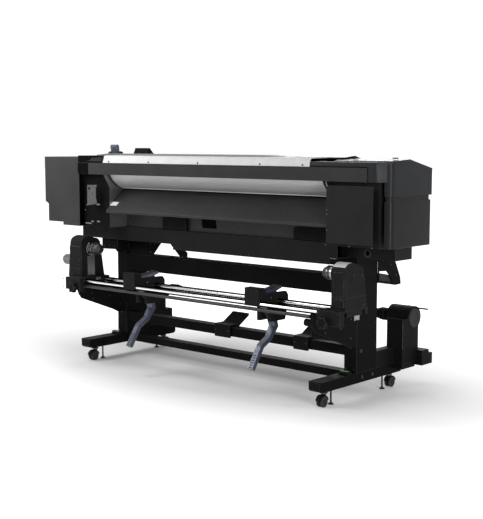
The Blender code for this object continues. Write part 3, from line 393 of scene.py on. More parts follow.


# Painted and moulded finishes, coloured by the settings: how each is made, and how far its edges are worn and
# lightened by painted highlight.
PAINTED = {
    "frame_black": (powder_coat, 0.30),
    "plastic_black": (moulded_plastic, 0.30),
    "holder_black": (moulded_plastic, 0.90),
    "panel_black": (lambda name, base: powder_coat(name, base, 0.05), 0.30),
    "feed_black": (lambda name, base: powder_coat(name, base, 0.18, (0.34, 0.44)), 0.25),
    "housing_grey": (lambda name, base: powder_coat(name, base, 0.15, (0.40, 0.50)), 0.60),
    "beam_grey": (lambda name, base: powder_coat(name, base, 0.12, (0.42, 0.52)), 0.20),
    "cap_grey": (lambda name, base: moulded_plastic(name, base, 0.10, (0.30, 0.38)), 0.80),
    "cover_grey": (lambda name, base: moulded_plastic(name, base, 0.10, (0.28, 0.36)), 0.50),
}
# Finishes with no edge of wear and painted highlight, and the one with an edge of its own, a lighter painted
# highlight.
PLAIN = {
    "polished_steel": polished_steel,
    "satin_steel": lambda: satin_steel("satin_steel", (0.12, 0.12, 0.123)),
    "tube_steel": lambda: satin_steel("tube_steel", (0.038, 0.038, 0.039)),
    "brushed_aluminium": brushed_aluminium,
    "strip_white": strip_paint,
    "galvanized": lambda: zinc_coat("galvanized", (0.84, 0.84, 0.845), 0.0, 140.0, 1.18, (0.34, 0.52)),
    "dull_zinc": lambda: zinc_coat("dull_zinc", (0.070, 0.070, 0.072), 0.30, 160.0, 1.20, (0.36, 0.54)),
    "rubber": rubber,
    "lever_paint": lever_paint,
    "blank_label": blank_label,
    "smoked_window": smoked_window,
    "button_plastic": button_plastic,
    "grit": grit,
}
EVEN = {
    "chrome": ((0.28, 0.28, 0.285), (60.0, 0.08), (150.0, 4.0, 0.10, 0.22), (700.0, 0.06, 0.0001)),
    "zinc_screw": ((0.20, 0.20, 0.20), (400.0, 0.20), (500.0, 2.0, 0.24, 0.42), (2500.0, 0.15, 0.0001)),
    "black_screw": ((0.030, 0.030, 0.032), (300.0, 0.30), (400.0, 2.0, 0.30, 0.45), (2200.0, 0.15, 0.0001)),
    # lever_edge: lighter blue on the levers' edges, a painted highlight.
    "lever_edge": ((0.16, 0.17, 0.21), (80.0, 0.25), (60.0, 2.0, 0.22, 0.34)),
    "level_liquid": ("level_green", (60.0, 0.35), (200.0, 2.0, 0.05, 0.14)),
    "screen_glass": ((0.012, 0.018, 0.022), (20.0, 0.40), (300.0, 2.0, 0.03, 0.08)),
    "shadow_black": ((0.0022, 0.0022, 0.0024), (40.0, 0.30), (50.0, 2.0, 0.70, 0.85)),
}
LOOKS = {
    "chrome": {"metallic": 1.0},
    "zinc_screw": {"metallic": 0.85},
    "black_screw": {"metallic": 0.6},
    "lever_edge": {"metallic": 0.35, "specular": 0.6},
    "level_liquid": {"specular": 0.6},
    "screen_glass": {"specular": 0.6},
    "shadow_black": {"specular": 0.03},
}


def finish(name):
    """Materials of a finish: the surface and, on painted and moulded pieces, its edge of wear and painted
    highlight.
    """
    edge = "lever_edge" if name == "lever_paint" else f"{name}_edge"
    if name not in bpy.data.materials:
        if name in PAINTED:
            make, share = PAINTED[name]
            base = getattr(finishes(), name)
            make(name, base)
            worn_and_highlit_edge(edge, base, share)
        elif name in EVEN:
            base, *looks = EVEN[name]
            base = getattr(finishes(), base) if isinstance(base, str) else base
            even(name, base, *looks, **LOOKS[name])
        else:
            PLAIN[name]()
        if name == "lever_paint":
            finish(edge)
    return [bpy.data.materials[n] for n in (name, edge) if n in bpy.data.materials]


# ---- Shapes -------------------------------------------------------------------------------
def place(axis, along, a, b):
    """Point at `along` on an axis, with a and b on the other two axes in their order."""
    return {"X": (along, a, b), "Y": (a, along, b), "Z": (a, b, along)}[axis]


def span(node):
    """Lowest and highest corner of a frame node."""
    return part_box(node)


def centre(node):
    low, high = span(node)
    return (low + high) / 2


def body_of(node):
    return frame["nodes"][node]["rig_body"]


def arc(middle, radius, start, end, steps):
    angles = [math.radians(start + (end - start) * i / steps) for i in range(steps + 1)]
    return [(middle[0] + radius * math.cos(t), middle[1] + radius * math.sin(t)) for t in angles]


def add_block(bm, low, high):
    low, high = Vector(low), Vector(high)
    made = bmesh.ops.create_cube(bm, size=1.0)["verts"]
    bmesh.ops.scale(bm, vec=high - low, verts=made)
    bmesh.ops.translate(bm, vec=(high + low) / 2, verts=made)
    return made


def add_prism(bm, outline, axis, low, high):
    """Extrude a closed outline along an axis from low to high."""
    start = [bm.verts.new(place(axis, low, a, b)) for a, b in outline]
    face = bm.faces.new(start)
    geometry = bmesh.ops.extrude_face_region(bm, geom=[face])["geom"]
    moved = [item for item in geometry if isinstance(item, bmesh.types.BMVert)]
    bmesh.ops.translate(bm, verts=moved, vec=place(axis, high - low, 0, 0))
    return start + moved


def add_turned(bm, profile, at, facing, sides=ROUND):
    """Turn (height, radius) points about the axis through `at` that points along `facing`."""
    before = set(bm.verts)
    chain = [bm.verts.new((radius, 0, height)) for height, radius in profile]
    edges = [bm.edges.new(two) for two in zip(chain, chain[1:])]
    if profile[0][1] > WELD:
        edges.append(bm.edges.new((chain[-1], chain[0])))
    bmesh.ops.spin(
        bm,
        geom=chain + edges,
        cent=(0, 0, 0),
        axis=UP,
        angle=2 * math.pi,
        steps=sides,
        use_merge=True,
    )
    made = [v for v in bm.verts if v not in before]
    bmesh.ops.remove_doubles(bm, verts=made, dist=WELD)
    made = [v for v in bm.verts if v not in before]
    turn = Vector(facing).to_track_quat("Z", "Y").to_matrix().to_4x4()
    bmesh.ops.transform(bm, matrix=Matrix.Translation(at) @ turn, verts=made)
    return made


def add_screw(bm, at, facing, radius=None):
    """Domed screw head with a socket, standing on a surface."""
    r = radius or sizes().screw
    profile = [
        (-0.0005, 0.0),
        (-0.0005, r),
        (0.20 * r, r),
        (0.48 * r, 0.86 * r),
        (0.60 * r, 0.60 * r),
        (0.60 * r, 0.42 * r),
        (0.22 * r, 0.38 * r),
        (0.22 * r, 0.0),
    ]
    add_turned(bm, profile, at, facing, 16)


def add_bolt(bm, at, facing, radius=None):
    """Hexagon bolt head on a washer."""
    r = radius or sizes().bolt
    washer = [(-0.0005, 0.0), (-0.0005, 1.35 * r), (0.16 * r, 1.35 * r)]
    washer += [(0.20 * r, 1.25 * r), (0.20 * r, 0.0)]
    add_turned(bm, washer, at, facing, 24)
    head = [(0.18 * r, 0.0), (0.18 * r, r), (0.72 * r, r), (0.84 * r, 0.84 * r), (0.84 * r, 0.0)]
    add_turned(bm, head, at, facing, 6)


def add_spokes(bm, at, count, low, high):
    """Block from low to high, repeated round the axis along X through `at`."""
    for i in range(count):
        turn = Matrix.Rotation(2 * math.pi * i / count, 4, "X")
        spoke = add_block(bm, low, high)
        bmesh.ops.transform(bm, matrix=Matrix.Translation(at) @ turn, verts=spoke)


def lobed(middle, radius, wave, lobes, steps):
    """Outline whose radius swells by `wave` and shrinks again `lobes` times round."""
    points = []
    for i in range(steps):
        turn = 2 * math.pi * i / steps
        r = radius + wave * math.cos(lobes * turn)
        points.append((middle[0] + r * math.cos(turn), middle[1] + r * math.sin(turn)))
    return points


def row(start, end, count):
    """Evenly spaced points from start to end."""
    start, end = Vector(start), Vector(end)
    return [start.lerp(end, i / (count - 1)) for i in range(count)]


def soften(made, width, segments=2):
    step = made.modifiers.new("edges", "BEVEL")
    step.limit_method = "ANGLE"
    step.angle_limit = SHARP
    step.width = width
    step.segments = segments
    step.harden_normals = True
    # The bevel faces take the edge finish, a painted highlight with patches of wear.
    step.material = min(1, len(made.data.materials) - 1)


def piece(name, bm, body, look, edge=0.0, segments=2, recalculate=True):
    """Object from a bmesh, in its place, that rides on a body."""
    if recalculate:
        bmesh.ops.recalc_face_normals(bm, faces=list(bm.faces))
    mesh = bpy.data.meshes.new(name)
    bm.to_mesh(mesh)
    bm.free()
    made = bpy.data.objects.new(name, mesh)
    bpy.context.scene.collection.objects.link(made)
    for material in finish(look):
        mesh.materials.append(material)
    mesh.shade_smooth()
    mesh.set_sharp_from_angle(angle=SHARP)
    if edge:
        soften(made, edge, segments)
    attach(made, body)
    return made


def shell_of(node):
    """Welded copy of a frame node's mesh, with its flat faces whole again."""
    mesh = frame["nodes"][node].data.copy()
    for extra in [a.name for a in mesh.attributes if a.name == "custom_normal"]:
        mesh.attributes.remove(mesh.attributes[extra])
    bm = bmesh.new()
    bm.from_mesh(mesh)
    bpy.data.meshes.remove(mesh)
    bmesh.ops.remove_doubles(bm, verts=list(bm.verts), dist=5e-6)
    bmesh.ops.dissolve_limit(bm, angle_limit=math.radians(0.5), verts=list(bm.verts), edges=list(bm.edges))
    return bm


def carved(bm, cutter):
    """Cut closed shapes out of a shell."""
    shapes = []
    for shape in (bm, cutter):
        bmesh.ops.recalc_face_normals(shape, faces=list(shape.faces))
        mesh = bpy.data.meshes.new("rough")
        shape.to_mesh(mesh)
        shape.free()
        made = bpy.data.objects.new("rough", mesh)
        bpy.context.scene.collection.objects.link(made)
        shapes.append(made)
    step = shapes[0].modifiers.new("cut", "BOOLEAN")
    step.operation = "DIFFERENCE"
    step.object = shapes[1]
    result = bmesh.new()
    bpy.context.view_layer.update()
    result.from_object(shapes[0], bpy.context.evaluated_depsgraph_get())
    for made in shapes:
        mesh = made.data
        bpy.data.objects.remove(made)
        bpy.data.meshes.remove(mesh)
    if not result.faces:
        raise RuntimeError("the cut left nothing: the shapes of a cutter may not overlap")
    return result


def round_edges(bm, chosen, width, segments=5):
    """Round the edges for which chosen(start, end) holds."""
    edges = [e for e in bm.edges if chosen(e.verts[0].co, e.verts[1].co)]
    bmesh.ops.bevel(
        bm, geom=edges, offset=width, segments=segments, profile=0.5, affect="EDGES", material=-1
    )


def skin(node, look, edge=None, segments=2, cutter=None, shape=None):
    """Panel that stands for a frame node: the same shape with worked edges and a finish."""
    bm = shell_of(node)
    if shape:
        shape(bm)
    if cutter:
        bm = carved(bm, cutter)
    edge = sizes().sheet_edge if edge is None else edge
    made = piece(f"{node}_body", bm, body_of(node), look, edge, segments, recalculate=bool(cutter))
    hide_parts(node)
    return made


def turned_part(node, look, profile, at, facing, sides=ROUND, edge=0.0, name=None):
    """Turned piece that stands for a frame node."""
    bm = bmesh.new()
    add_turned(bm, profile, at, facing, sides)
    made = piece(name or f"{node}_body", bm, body_of(node), look, edge)
    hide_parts(node)
    return made


def accent(made, look, chosen):
    """Give the faces for which chosen(face) holds another finish."""
    material = finish(look)[0]
    made.data.materials.append(material)
    index = len(made.data.materials) - 1
    for face in made.data.polygons:
        if chosen(face):
            face.material_index = index


def fittings(name, body, look, fill, edge=0.0, segments=2):
    """Piece whose shapes are added by fill(bm)."""
    bm = bmesh.new()
    fill(bm)
    return piece(name, bm, body, look, edge, segments)


def blocks(name, body, look, boxes, edge=0.0):
    """Piece made of blocks, each given by its lowest and its highest corner."""
    return fittings(name, body, look, lambda bm: [add_block(bm, *box) for box in boxes], edge)


def plate(name, body, slot, look, outline, axis, low, high, edge=0.0):
    """Piece made of one outline, extruded along an axis from low to high."""
    return fittings(name, body, look, lambda bm: add_prism(bm, outline, axis, low, high), edge)


def turned(name, body, look, profile, at, facing, sides=ROUND):
    """Piece made of one turned profile."""
    return fittings(name, body, look, lambda bm: add_turned(bm, profile, at, facing, sides))


def screws(name, body, places, look="zinc_screw", radius=None, kind=add_screw):
    """Group of screws at (point, facing) places."""
    return fittings(name, body, look, lambda bm: [kind(bm, at, way, radius) for at, way in places])


# ---- Stand --------------------------------------------------------------------------------
LEG_PLATE_Z = (0.146, 0.288)
FOOT_PLUG_T = 0.003
THREAD_START = 0.018
LOCK_NUT = (0.0770, 0.0865)
LEVEL_Y = -0.116
CASTER_SWIVEL_Y = 0.298


def dress_legs():
    for side in SIDES:
        skin(f"leg_{side}", "frame_black", 0.0022)
        skin(f"foot_{side}", "frame_black", 0.0026)
    for bar in ("bottom_stay", "take_up_beam", "upper_crossbeam"):
        skin(bar, "frame_black", 0.0018)


def add_leg_plates():
    """Screwed plate low on the rear face of each leg, and a plug in each end of a foot."""
    for side in SIDES:
        low, high = span(f"leg_{side}")
        rear = low.y - GAP
        box = ((low.x, rear - 0.003, LEG_PLATE_Z[0]), (high.x, rear, LEG_PLATE_Z[1]))
        blocks(f"leg_plate_{side}", "root", "frame_black", [box], 0.001)
        middle = (low.x + high.x) / 2
        heads = [(middle, LEG_PLATE_Z[1] - 0.012), (middle - 0.026, 0.160), (middle + 0.026, 0.160)]
        places = [((x, rear - 0.003, z), REAR) for x, z in heads]
        screws(f"leg_plate_screws_{side}", "root", places, "black_screw", 0.005)

        low, high = span(f"foot_{side}")
        plugs = []
        for y, way in ((low.y, -1), (high.y, 1)):
            ends = sorted((y + way * GAP, y + way * (GAP + FOOT_PLUG_T)))
            plugs.append(((low.x + 0.005, ends[0], low.z + 0.014), (high.x - 0.005, ends[1], high.z - 0.005)))
        blocks(f"foot_plugs_{side}", "root", "plastic_black", plugs, 0.0014)


def add_frame_bolts():
    """Bolts through the legs, and the bracket and screws of the upper crossbeam."""
    places = []
    for side, way in (("left", LEFT), ("right", RIGHT)):
        low, high = span(f"leg_{side}")
        x = high.x if way.x > 0 else low.x
        for z in (0.258, 0.590, 0.632):
            places.append(((x, -0.030, z), way))
        foot_low, foot_high = span(f"foot_{side}")
        foot_x = foot_high.x if way.x > 0 else foot_low.x
        for y in (-0.016, 0.079):
            places.append(((foot_x, y, 0.115), way))
    screws("frame_bolts", "root", places, "black_screw", sizes().bolt, add_bolt)

    plates = [(-0.603, 0.735), (-0.642, 0.735), (-0.414, 0.735), (-0.642, 0.684), (-0.360, 0.672)]
    rear = span("upper_crossbeam")[0].y + 0.001
    places = [((x, rear, z), REAR) for x, z in plates]
    bracket = [((0.795, -0.056, 0.6585), (0.8635, 0.030, 0.7625))]
    bracket += [((0.8605, -0.1990, 0.7310), (0.9090, -0.1960, 0.7626))]
    blocks("beam_bracket", "root", "frame_black", bracket, 0.0014)
    screws("crossbeam_screws", "root", places, "dull_zinc", 0.0044)


def add_spirit_levels():
    """Two-way spirit level on each foot, just behind its leg."""
    for side in SIDES:
        x = centre(f"foot_{side}").x
        top = span(f"foot_{side}")[1].z + GAP
        y = LEVEL_Y
        housing = [((x - 0.034, y - 0.013, top), (x + 0.034, y + 0.013, top + 0.005))]
        for end in (x - 0.031, x + 0.031):
            housing.append(((end - 0.003, y - 0.010, top + 0.004), (end + 0.003, y + 0.010, top + 0.017)))
        blocks(f"level_housing_{side}", "root", "plastic_black", housing, 0.0008)

        vial = [(-0.028, 0.0), (-0.028, 0.006), (-0.026, 0.0075)]
        vial += [(-along, r) for along, r in vial[::-1]]
        at = (x, y, top + 0.0132)
        turned(f"level_vial_{side}", "root", "level_liquid", vial, at, RIGHT, 32)

        def marks(bm):
            for line in (-0.006, 0.006):
                ring = [(-0.0006, 0.0074), (-0.0006, 0.0079), (0.0006, 0.0079), (0.0006, 0.0074)]
                add_turned(bm, ring, (x + line, y, at[2]), RIGHT, 32)

        fittings(f"level_marks_{side}", "root", "shadow_black", marks)


class PRINTER_OT_stand(bpy.types.Operator):
    """Dress the legs, feet and cross bars and add their plates, bolts and levels"""

    bl_idname = "printer.stand"
    bl_label = "Stand"

    def execute(self, context):
        dress_legs()
        add_leg_plates()
        add_frame_bolts()
        add_spirit_levels()
        return {"FINISHED"}


def tyre_profile(outer):
    """Closed ring of one tyre: flat tread with two grooves, rounded shoulders and a rim step."""
    start, end = 0.0062, 0.0178
    run = [(start, 0.012), (start, outer - 0.004), (start + 0.0012, outer - 0.0008)]
    for groove in (0.0100, 0.0135):
        run += [(groove - 0.0006, outer), (groove - 0.0003, outer - 0.0012)]
        run += [(groove + 0.0003, outer - 0.0012), (groove + 0.0006, outer)]
    run += [(end - 0.0014, outer - 0.0008), (end, outer - 0.004), (end, outer - 0.008)]
    run += [(end - 0.0016, outer - 0.009), (end - 0.0016, 0.012)]
    return run


def add_caster(tag):
    """Twin wheels with tyres, hubs and axle caps, and their fork with its swivel bearing."""
    wheels = f"caster_wheels_{tag}"
    fork = f"caster_fork_{tag}"
    middle = centre(wheels)
    outer = (span(wheels)[1].z - span(wheels)[0].z) / 2
    skin(fork, "plastic_black", 0.0009)

    def tyres(bm):
        for way in (LEFT, RIGHT):
            add_turned(bm, tyre_profile(outer), middle, way)

    made = fittings(f"{wheels}_tyres", body_of(wheels), "rubber", tyres)
    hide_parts(wheels)

    def hubs(bm):
        for way in (LEFT, RIGHT):
            disc = [(0.0064, 0.0), (0.0064, 0.0122), (0.0148, 0.0122), (0.0152, 0.0195), (0.0164, 0.0192)]
            disc += [(0.0150, 0.0130), (0.0140, 0.0100), (0.0165, 0.0070), (0.0165, 0.0)]
            add_turned(bm, disc, middle, way)
            x = way.x * 0.0145
            add_spokes(bm, middle, 6, (x - 0.0006, -0.0011, 0.006), (x + 0.0006, 0.0011, 0.0165))

    fittings(f"{wheels}_hubs", body_of(wheels), "cover_grey", hubs)
    caps = [(middle + way * 0.0164, way) for way in (LEFT, RIGHT)]
    screws(f"{wheels}_axle_caps", body_of(wheels), caps, "dull_zinc", 0.0045)

    swivel = Vector((middle.x, math.copysign(CASTER_SWIVEL_Y, middle.y), 0.0))
    ring = [(0.0700, 0.0132), (0.0700, 0.0190), (0.0725, 0.0205)]
    ring += [(0.0755, 0.0205), (0.0775, 0.0180), (0.0775, 0.0132)]
    turned(f"{fork}_bearing", body_of(fork), "satin_steel", ring, swivel, UP)


class PRINTER_OT_casters(bpy.types.Operator):
    """Build the twin wheels with tyres, hubs and axle caps, and dress their forks"""

    bl_idname = "printer.casters"
    bl_label = "Casters"

    def execute(self, context):
        for tag in CORNERS:
            add_caster(tag)
        return {"FINISHED"}


def add_leveler(tag):
    """Levelling foot: swivelling pad and threaded stem, with its lock nut under the foot beam."""
    node = f"leveler_{tag}"
    low, high = span(node)
    axis = Vector(((low.x + high.x) / 2, (low.y + high.y) / 2, 0.0))
    pad = (high.x - low.x) / 2
    pitch = sizes().thread_pitch
    profile = [
        (low.z, 0.0),
        (low.z, pad - 0.001),
        (low.z + 0.001, pad),
        (low.z + 0.004, pad),
        (low.z + 0.0055, pad - 0.0015),
        (low.z + 0.0075, 0.0095),
        (low.z + 0.0120, 0.0080),
        (low.z + 0.0135, 0.0050),
    ]
    turns = int((high.z - 0.002 - THREAD_START) / pitch)
    for i in range(turns):
        z = THREAD_START + i * pitch
        profile += [(z, 0.0042), (z + pitch * 0.35, 0.0050), (z + pitch * 0.65, 0.0050)]
    profile += [(high.z - 0.0008, 0.0042), (high.z, 0.0034), (high.z, 0.0)]
    turned_part(node, "black_screw", profile, axis, UP, 24)

    nut = [(LOCK_NUT[0], 0.0052), (LOCK_NUT[0], 0.0086), (LOCK_NUT[0] + 0.001, 0.0098)]
    nut += [(LOCK_NUT[1] - 0.001, 0.0098), (LOCK_NUT[1], 0.0086), (LOCK_NUT[1], 0.0052)]
    turned(f"lock_nut_{tag}", "root", "black_screw", nut, axis, UP, 6)


class PRINTER_OT_levelers(bpy.types.Operator):
    """Build the threaded levelling feet and their lock nuts"""

    bl_idname = "printer.levelers"
    bl_label = "Levelling feet"

    def execute(self, context):
        for tag in CORNERS:
            add_leveler(tag)
        return {"FINISHED"}


# ---- Roll feed ----------------------------------------------------------------------------
ARM_KNOB_Z = 0.459
RAIL_END = 0.0015
HUB_BOSS = 0.028  # length of a hub's boss behind the face it stands on
HOLDER_REAR_Y = -0.450
HOLDER_SIDE_X = 1.148
HOLDER_SEAM_Z = 0.6035


def hub_seat(node, way):
    """Place of the face that a hub facing `way` stands on, and how far the hub reaches from it."""
    low, high = span(node)
    if way.x > 0:
        face = low.x + HUB_BOSS
        return face, high.x - face
    face = high.x - HUB_BOSS
    return face, face - low.x


def add_rail(node, look):
    """Round bar with chamfered ends and a centre hole in each."""
    low, high = span(node)
    radius = (high.z - low.z) / 2
    long = high.x - low.x
    half = [(0.006, 0.0), (0.004, 0.0022), (0.0, 0.0034), (0.0, radius - RAIL_END), (RAIL_END, radius)]
    profile = half + [(long - along, r) for along, r in half[::-1]]
    turned_part(node, look, profile, (low.x, centre(node).y, centre(node).z), RIGHT, 64)


def add_arm_fittings(side):
    """Stop knob at the tip, screws, and the plate at the joint with the leg."""
    low, high = span(f"feed_arm_{side}")
    reach = {"left": 0.010, "right": 0.046}[side]
    knob = [(0.0, 0.0), (0.0, 0.013), (0.004, 0.019), (reach - 0.002, 0.019), (reach, 0.016), (reach, 0.0)]
    tip = Vector((low.x - GAP, low.y + 0.021, ARM_KNOB_Z))

    def stop(bm):
        add_turned(bm, knob, tip, LEFT, 32)
        if side == "left":
            outer = [(0.0, 0.0), (0.0, 0.013), (0.004, 0.018), (0.018, 0.018), (0.021, 0.015), (0.021, 0.0)]
            add_turned(bm, outer, Vector((high.x + GAP, tip.y, tip.z)), RIGHT, 32)

    fittings(f"arm_stop_{side}", "root", "plastic_black", stop)
    heads = [(-0.351, 0.433), (-0.343, 0.399), (-0.209, 0.401), (-0.120, 0.440), (-0.120, 0.340)]
    places = [((high.x, y, z), RIGHT) for y, z in heads] + [((low.x, y, z), LEFT) for y, z in heads[2:]]
    screws(f"arm_screws_{side}", "root", places, "dull_zinc", 0.0040)

    name = f"joint_plate_{side}"
    start, end = high.x + GAP, high.x + 0.003
    if side == "right":
        box = ((start, -0.094, 0.430), (end, -0.048, 0.506))
        blocks(name, "root", "galvanized", [box], 0.0006)
        heads = [((end, -0.078, 0.484), RIGHT), ((end, -0.078, 0.432), RIGHT)]
        screws("joint_plate_screws", "root", heads, "black_screw", 0.0035)
    else:
        outline = [(-0.106, 0.350), (-0.020, 0.330), (-0.020, 0.470), (-0.106, 0.470)]
        plate(name, "root", "black_paint", "frame_black", outline, "X", start, end, 0.0006)


def add_arm_gusset():
    """Black rib that deepens the right arm towards its leg."""
    outline = [(-0.440, 0.440), (-0.440, 0.386), (-0.170, 0.320), (-0.066, 0.300), (-0.066, 0.400)]
    face = span("feed_arm_right")[0].x
    look = ("black_paint", "frame_black")
    plate("arm_gusset_right", "root", *look, outline, "X", face - 0.0035, face - GAP, 0.0006)


class PRINTER_OT_feed_rails(bpy.types.Operator):
    """Build the polished rails and the tie tube, and dress the arms that carry them"""

    bl_idname = "printer.feed_rails"
    bl_label = "Feed rails and arms"

    def execute(self, context):
        add_rail("rear_rail", "polished_steel")
        add_rail("front_rail", "polished_steel")
        add_rail("tie_tube", "tube_steel")
        for side in SIDES:
            skin(f"feed_arm_{side}", "frame_black", 0.0014)
            add_arm_fittings(side)
        add_arm_gusset()
        return {"FINISHED"}


def holder_seam(low, high):
    """Cutter for the seam round a holder's rear and outer faces."""
    cutter = bmesh.new()
    depth, behind = 0.0010, HOLDER_REAR_Y - 0.020
    bottom, top = HOLDER_SEAM_Z, HOLDER_SEAM_Z + 0.0014
    inner = high.x - 0.002 - depth
    add_block(cutter, (inner, behind, bottom), (inner + depth + 0.02, -0.2, top))
    add_block(cutter, (low.x - 0.01, behind, bottom), (inner - GAP, HOLDER_REAR_Y + depth, top))
    return cutter


def add_holder_details(side, panel_x):
    """Two raised panels on the rear face and a screw at each corner of the skirt."""
    node = f"{side}_holder"
    body = body_of(node)
    low, high = span(node)
    rear = HOLDER_REAR_Y - GAP
    start, end = panel_x
    heights = ((0.612, 0.732), (0.560, 0.598))
    panels = [((start, rear - 0.0034, bottom), (end, rear, top)) for bottom, top in heights]
    blocks(f"{node}_panel", body, "holder_black", panels, 0.0030)
    left, right = low.x + 0.012, high.x - 0.014
    spots = [(left, 0.532), (right, 0.532), (right, 0.482), (left, 0.482)]
    places = [((x, low.y, z), REAR) for x, z in spots]
    screws(f"{node}_skirt_screws", body, places, "black_screw", 0.0036)


def add_core_plate():
    """Satin wear plate on the inner face of the left holder, under its hub, and a latch below."""
    body = body_of("left_holder")
    face = span("left_hub")[0].x + HUB_BOSS
    box = ((face + GAP, -0.404, 0.550), (face + 0.002, -0.347, 0.672))
    blocks("core_plate", body, "satin_steel", [box], 0.0006)
    side = span("left_holder")[1].x
    box = ((side + GAP, -0.372, 0.524), (side + 0.004, -0.335, 0.541))
    blocks("holder_latch", body, "zinc_screw", [box], 0.001)


def add_crown_label():
    """Blank label that wraps over the crown of the right holder."""
    middle = (-0.390, 0.736)

    def over(offset, start, end):
        return [
            (middle[0] + (0.060 + offset) * c, middle[1] + (0.040 + offset) * s)
            for c, s in arc((0, 0), 1, start, end, 10)
        ]

    outline = over(0.0007, 84, 150) + over(0.0002, 150, 84)
    plate("crown_label", body_of("right_holder"), "aluminium", "blank_label", outline, "X", 1.064, 1.138)


def add_holder_side_details():
    """Ribs and screws on the outer face of the right holder."""
    face = HOLDER_SIDE_X
    body = body_of("right_holder")
    places = [((face, -0.387, 0.717), RIGHT), ((face, -0.315, 0.710), RIGHT), ((face, -0.300, 0.560), RIGHT)]
    screws("holder_side_screws", body, places, "black_screw", 0.0050)
    ribs = [((face + GAP, -0.408, 0.672), (face + 0.0012, -0.400, 0.700))]
    ribs += [((face + GAP, -0.370, 0.640), (face + 0.0012, -0.290, 0.644))]
    blocks("holder_side_ribs", body, "plastic_black", ribs, 0.0005)


def add_hub(side):
    """Bright flange and ring with a dark gripping nose in front."""
    node = f"{side}_hub"
    way = RIGHT if side == "left" else LEFT
    face, reach = hub_seat(node, way)
    at = Vector((face, centre(node).y, centre(node).z))
    bright = [
        (-HUB_BOSS, 0.0),
        (-HUB_BOSS, 0.0112),
        (-0.027, 0.0118),
        (0.0006, 0.0118),
        (0.0006, 0.0410),
        (0.0016, 0.0418),
        (0.0105, 0.0418),
        (0.0120, 0.0405),
        (0.0128, 0.0312),
        (0.29 * reach, 0.0308),
        (0.30 * reach, 0.0375),
        (0.31 * reach, 0.0388),
        (0.41 * reach, 0.0388),
        (0.42 * reach, 0.0375),
        (0.42 * reach, 0.0),
    ]
    turned_part(node, "chrome", bright, at, way, 64)
    nose = [
        (0.42 * reach + GAP, 0.0),
        (0.42 * reach + GAP, 0.0352),
        (0.60 * reach, 0.0346),
        (0.61 * reach, 0.0330),
        (0.64 * reach, 0.0330),
        (0.65 * reach, 0.0342),
        (0.76 * reach, 0.0336),
        (0.94 * reach, 0.0236),
        (0.99 * reach, 0.0150),
        (reach, 0.0125),
        (reach, 0.0),
    ]

    def grip(bm):
        add_turned(bm, nose, at, way, 64)
        start, end = sorted((way.x * 0.45 * reach, way.x * 0.74 * reach))
        add_spokes(bm, at, 8, (start, -0.0022, 0.030), (end, 0.0022, 0.0366))

    fittings(f"{node}_nose", body_of(node), "tube_steel", grip)
    band = [(0.64 * reach, 0.0325), (0.64 * reach, 0.0338), (0.615 * reach, 0.0338), (0.615 * reach, 0.0325)]
    turned(f"{node}_band", body_of(node), "chrome", band, at, way, 64)


def add_star_knob(side):
    """Six-lobed clamp knob with a collar behind it and a steel stud in its middle."""
    node = f"{side}_clamp_knob"
    low, high = span(node)
    middle = centre(node)
    radius = (high.x - low.x) / 2
    points = lobed((middle.x, middle.z), radius - 0.0045, 0.0045, 6, 96)

    def knob(bm):
        add_prism(bm, points, "Y", low.y + 0.0005, high.y - 0.0085)

    made = fittings(f"{node}_body", body_of(node), "plastic_black", knob, 0.0030, 3)
    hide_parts(node)
    collar = [(0.0, 0.0), (0.0, 0.0135), (0.0010, 0.0140), (0.0085, 0.0140), (0.0085, 0.0)]
    at = (middle.x, high.y, middle.z)
    turned(f"{node}_collar", body_of(node), "zinc_screw", collar, at, REAR, 32)
    stud = ((middle.x, low.y + 0.0042, middle.z), REAR)
    screws(f"{node}_stud", body_of(node), [stud], "zinc_screw", 0.0060)


def add_core_knob():
    """Knurled knob at the outer end of the left holder."""
    node = "left_core_knob"
    body, middle = body_of(node), centre(node)
    face = hub_seat(node, LEFT)[0]
    at = Vector((face, middle.y, middle.z))
    stem = [(-HUB_BOSS, 0.0), (-HUB_BOSS, 0.0118), (0.040, 0.0118), (0.040, 0.0250)]
    stem += [(0.046, 0.0310), (0.046, 0.0)]
    turned_part(node, "satin_steel", stem, at, LEFT)
    points = lobed((middle.y, middle.z), 0.0322, 0.0007, 36, 144)
    plate(f"{node}_grip", body, "satin_steel", "satin_steel", points, "X", face - 0.110, face - 0.0463)
    nose = [(0.110, 0.0), (0.110, 0.0328), (0.113, 0.0325)]
    nose += [(0.126, 0.0262), (0.1295, 0.0160), (0.1295, 0.0)]
    turned(f"{node}_nose", body, "chrome", nose, at, LEFT)


class PRINTER_OT_holders(bpy.types.Operator):
    """Dress the roll holders and build their hubs, knobs, label, ribs and plates"""

    bl_idname = "printer.holders"
    bl_label = "Roll holders"

    def execute(self, context):
        edge = sizes().plastic_edge
        skin("left_holder", "holder_black", edge, 3)
        seam = holder_seam(*span("right_holder"))
        skin("right_holder", "holder_black", 0.0014, 2, cutter=seam)
        add_holder_details("left", (-0.948, -0.858))
        add_holder_details("right", (1.076, 1.140))
        add_core_plate()
        add_crown_label()
        add_holder_side_details()
        for side in SIDES:
            add_hub(side)
            add_star_knob(side)
        add_core_knob()
        return {"FINISHED"}


LIFT_PIVOT = (-0.365, 0.548)  # the lift lever's pivot in Y and Z
TAPER_Z = 0.42  # below this a lift lever narrows towards its foot


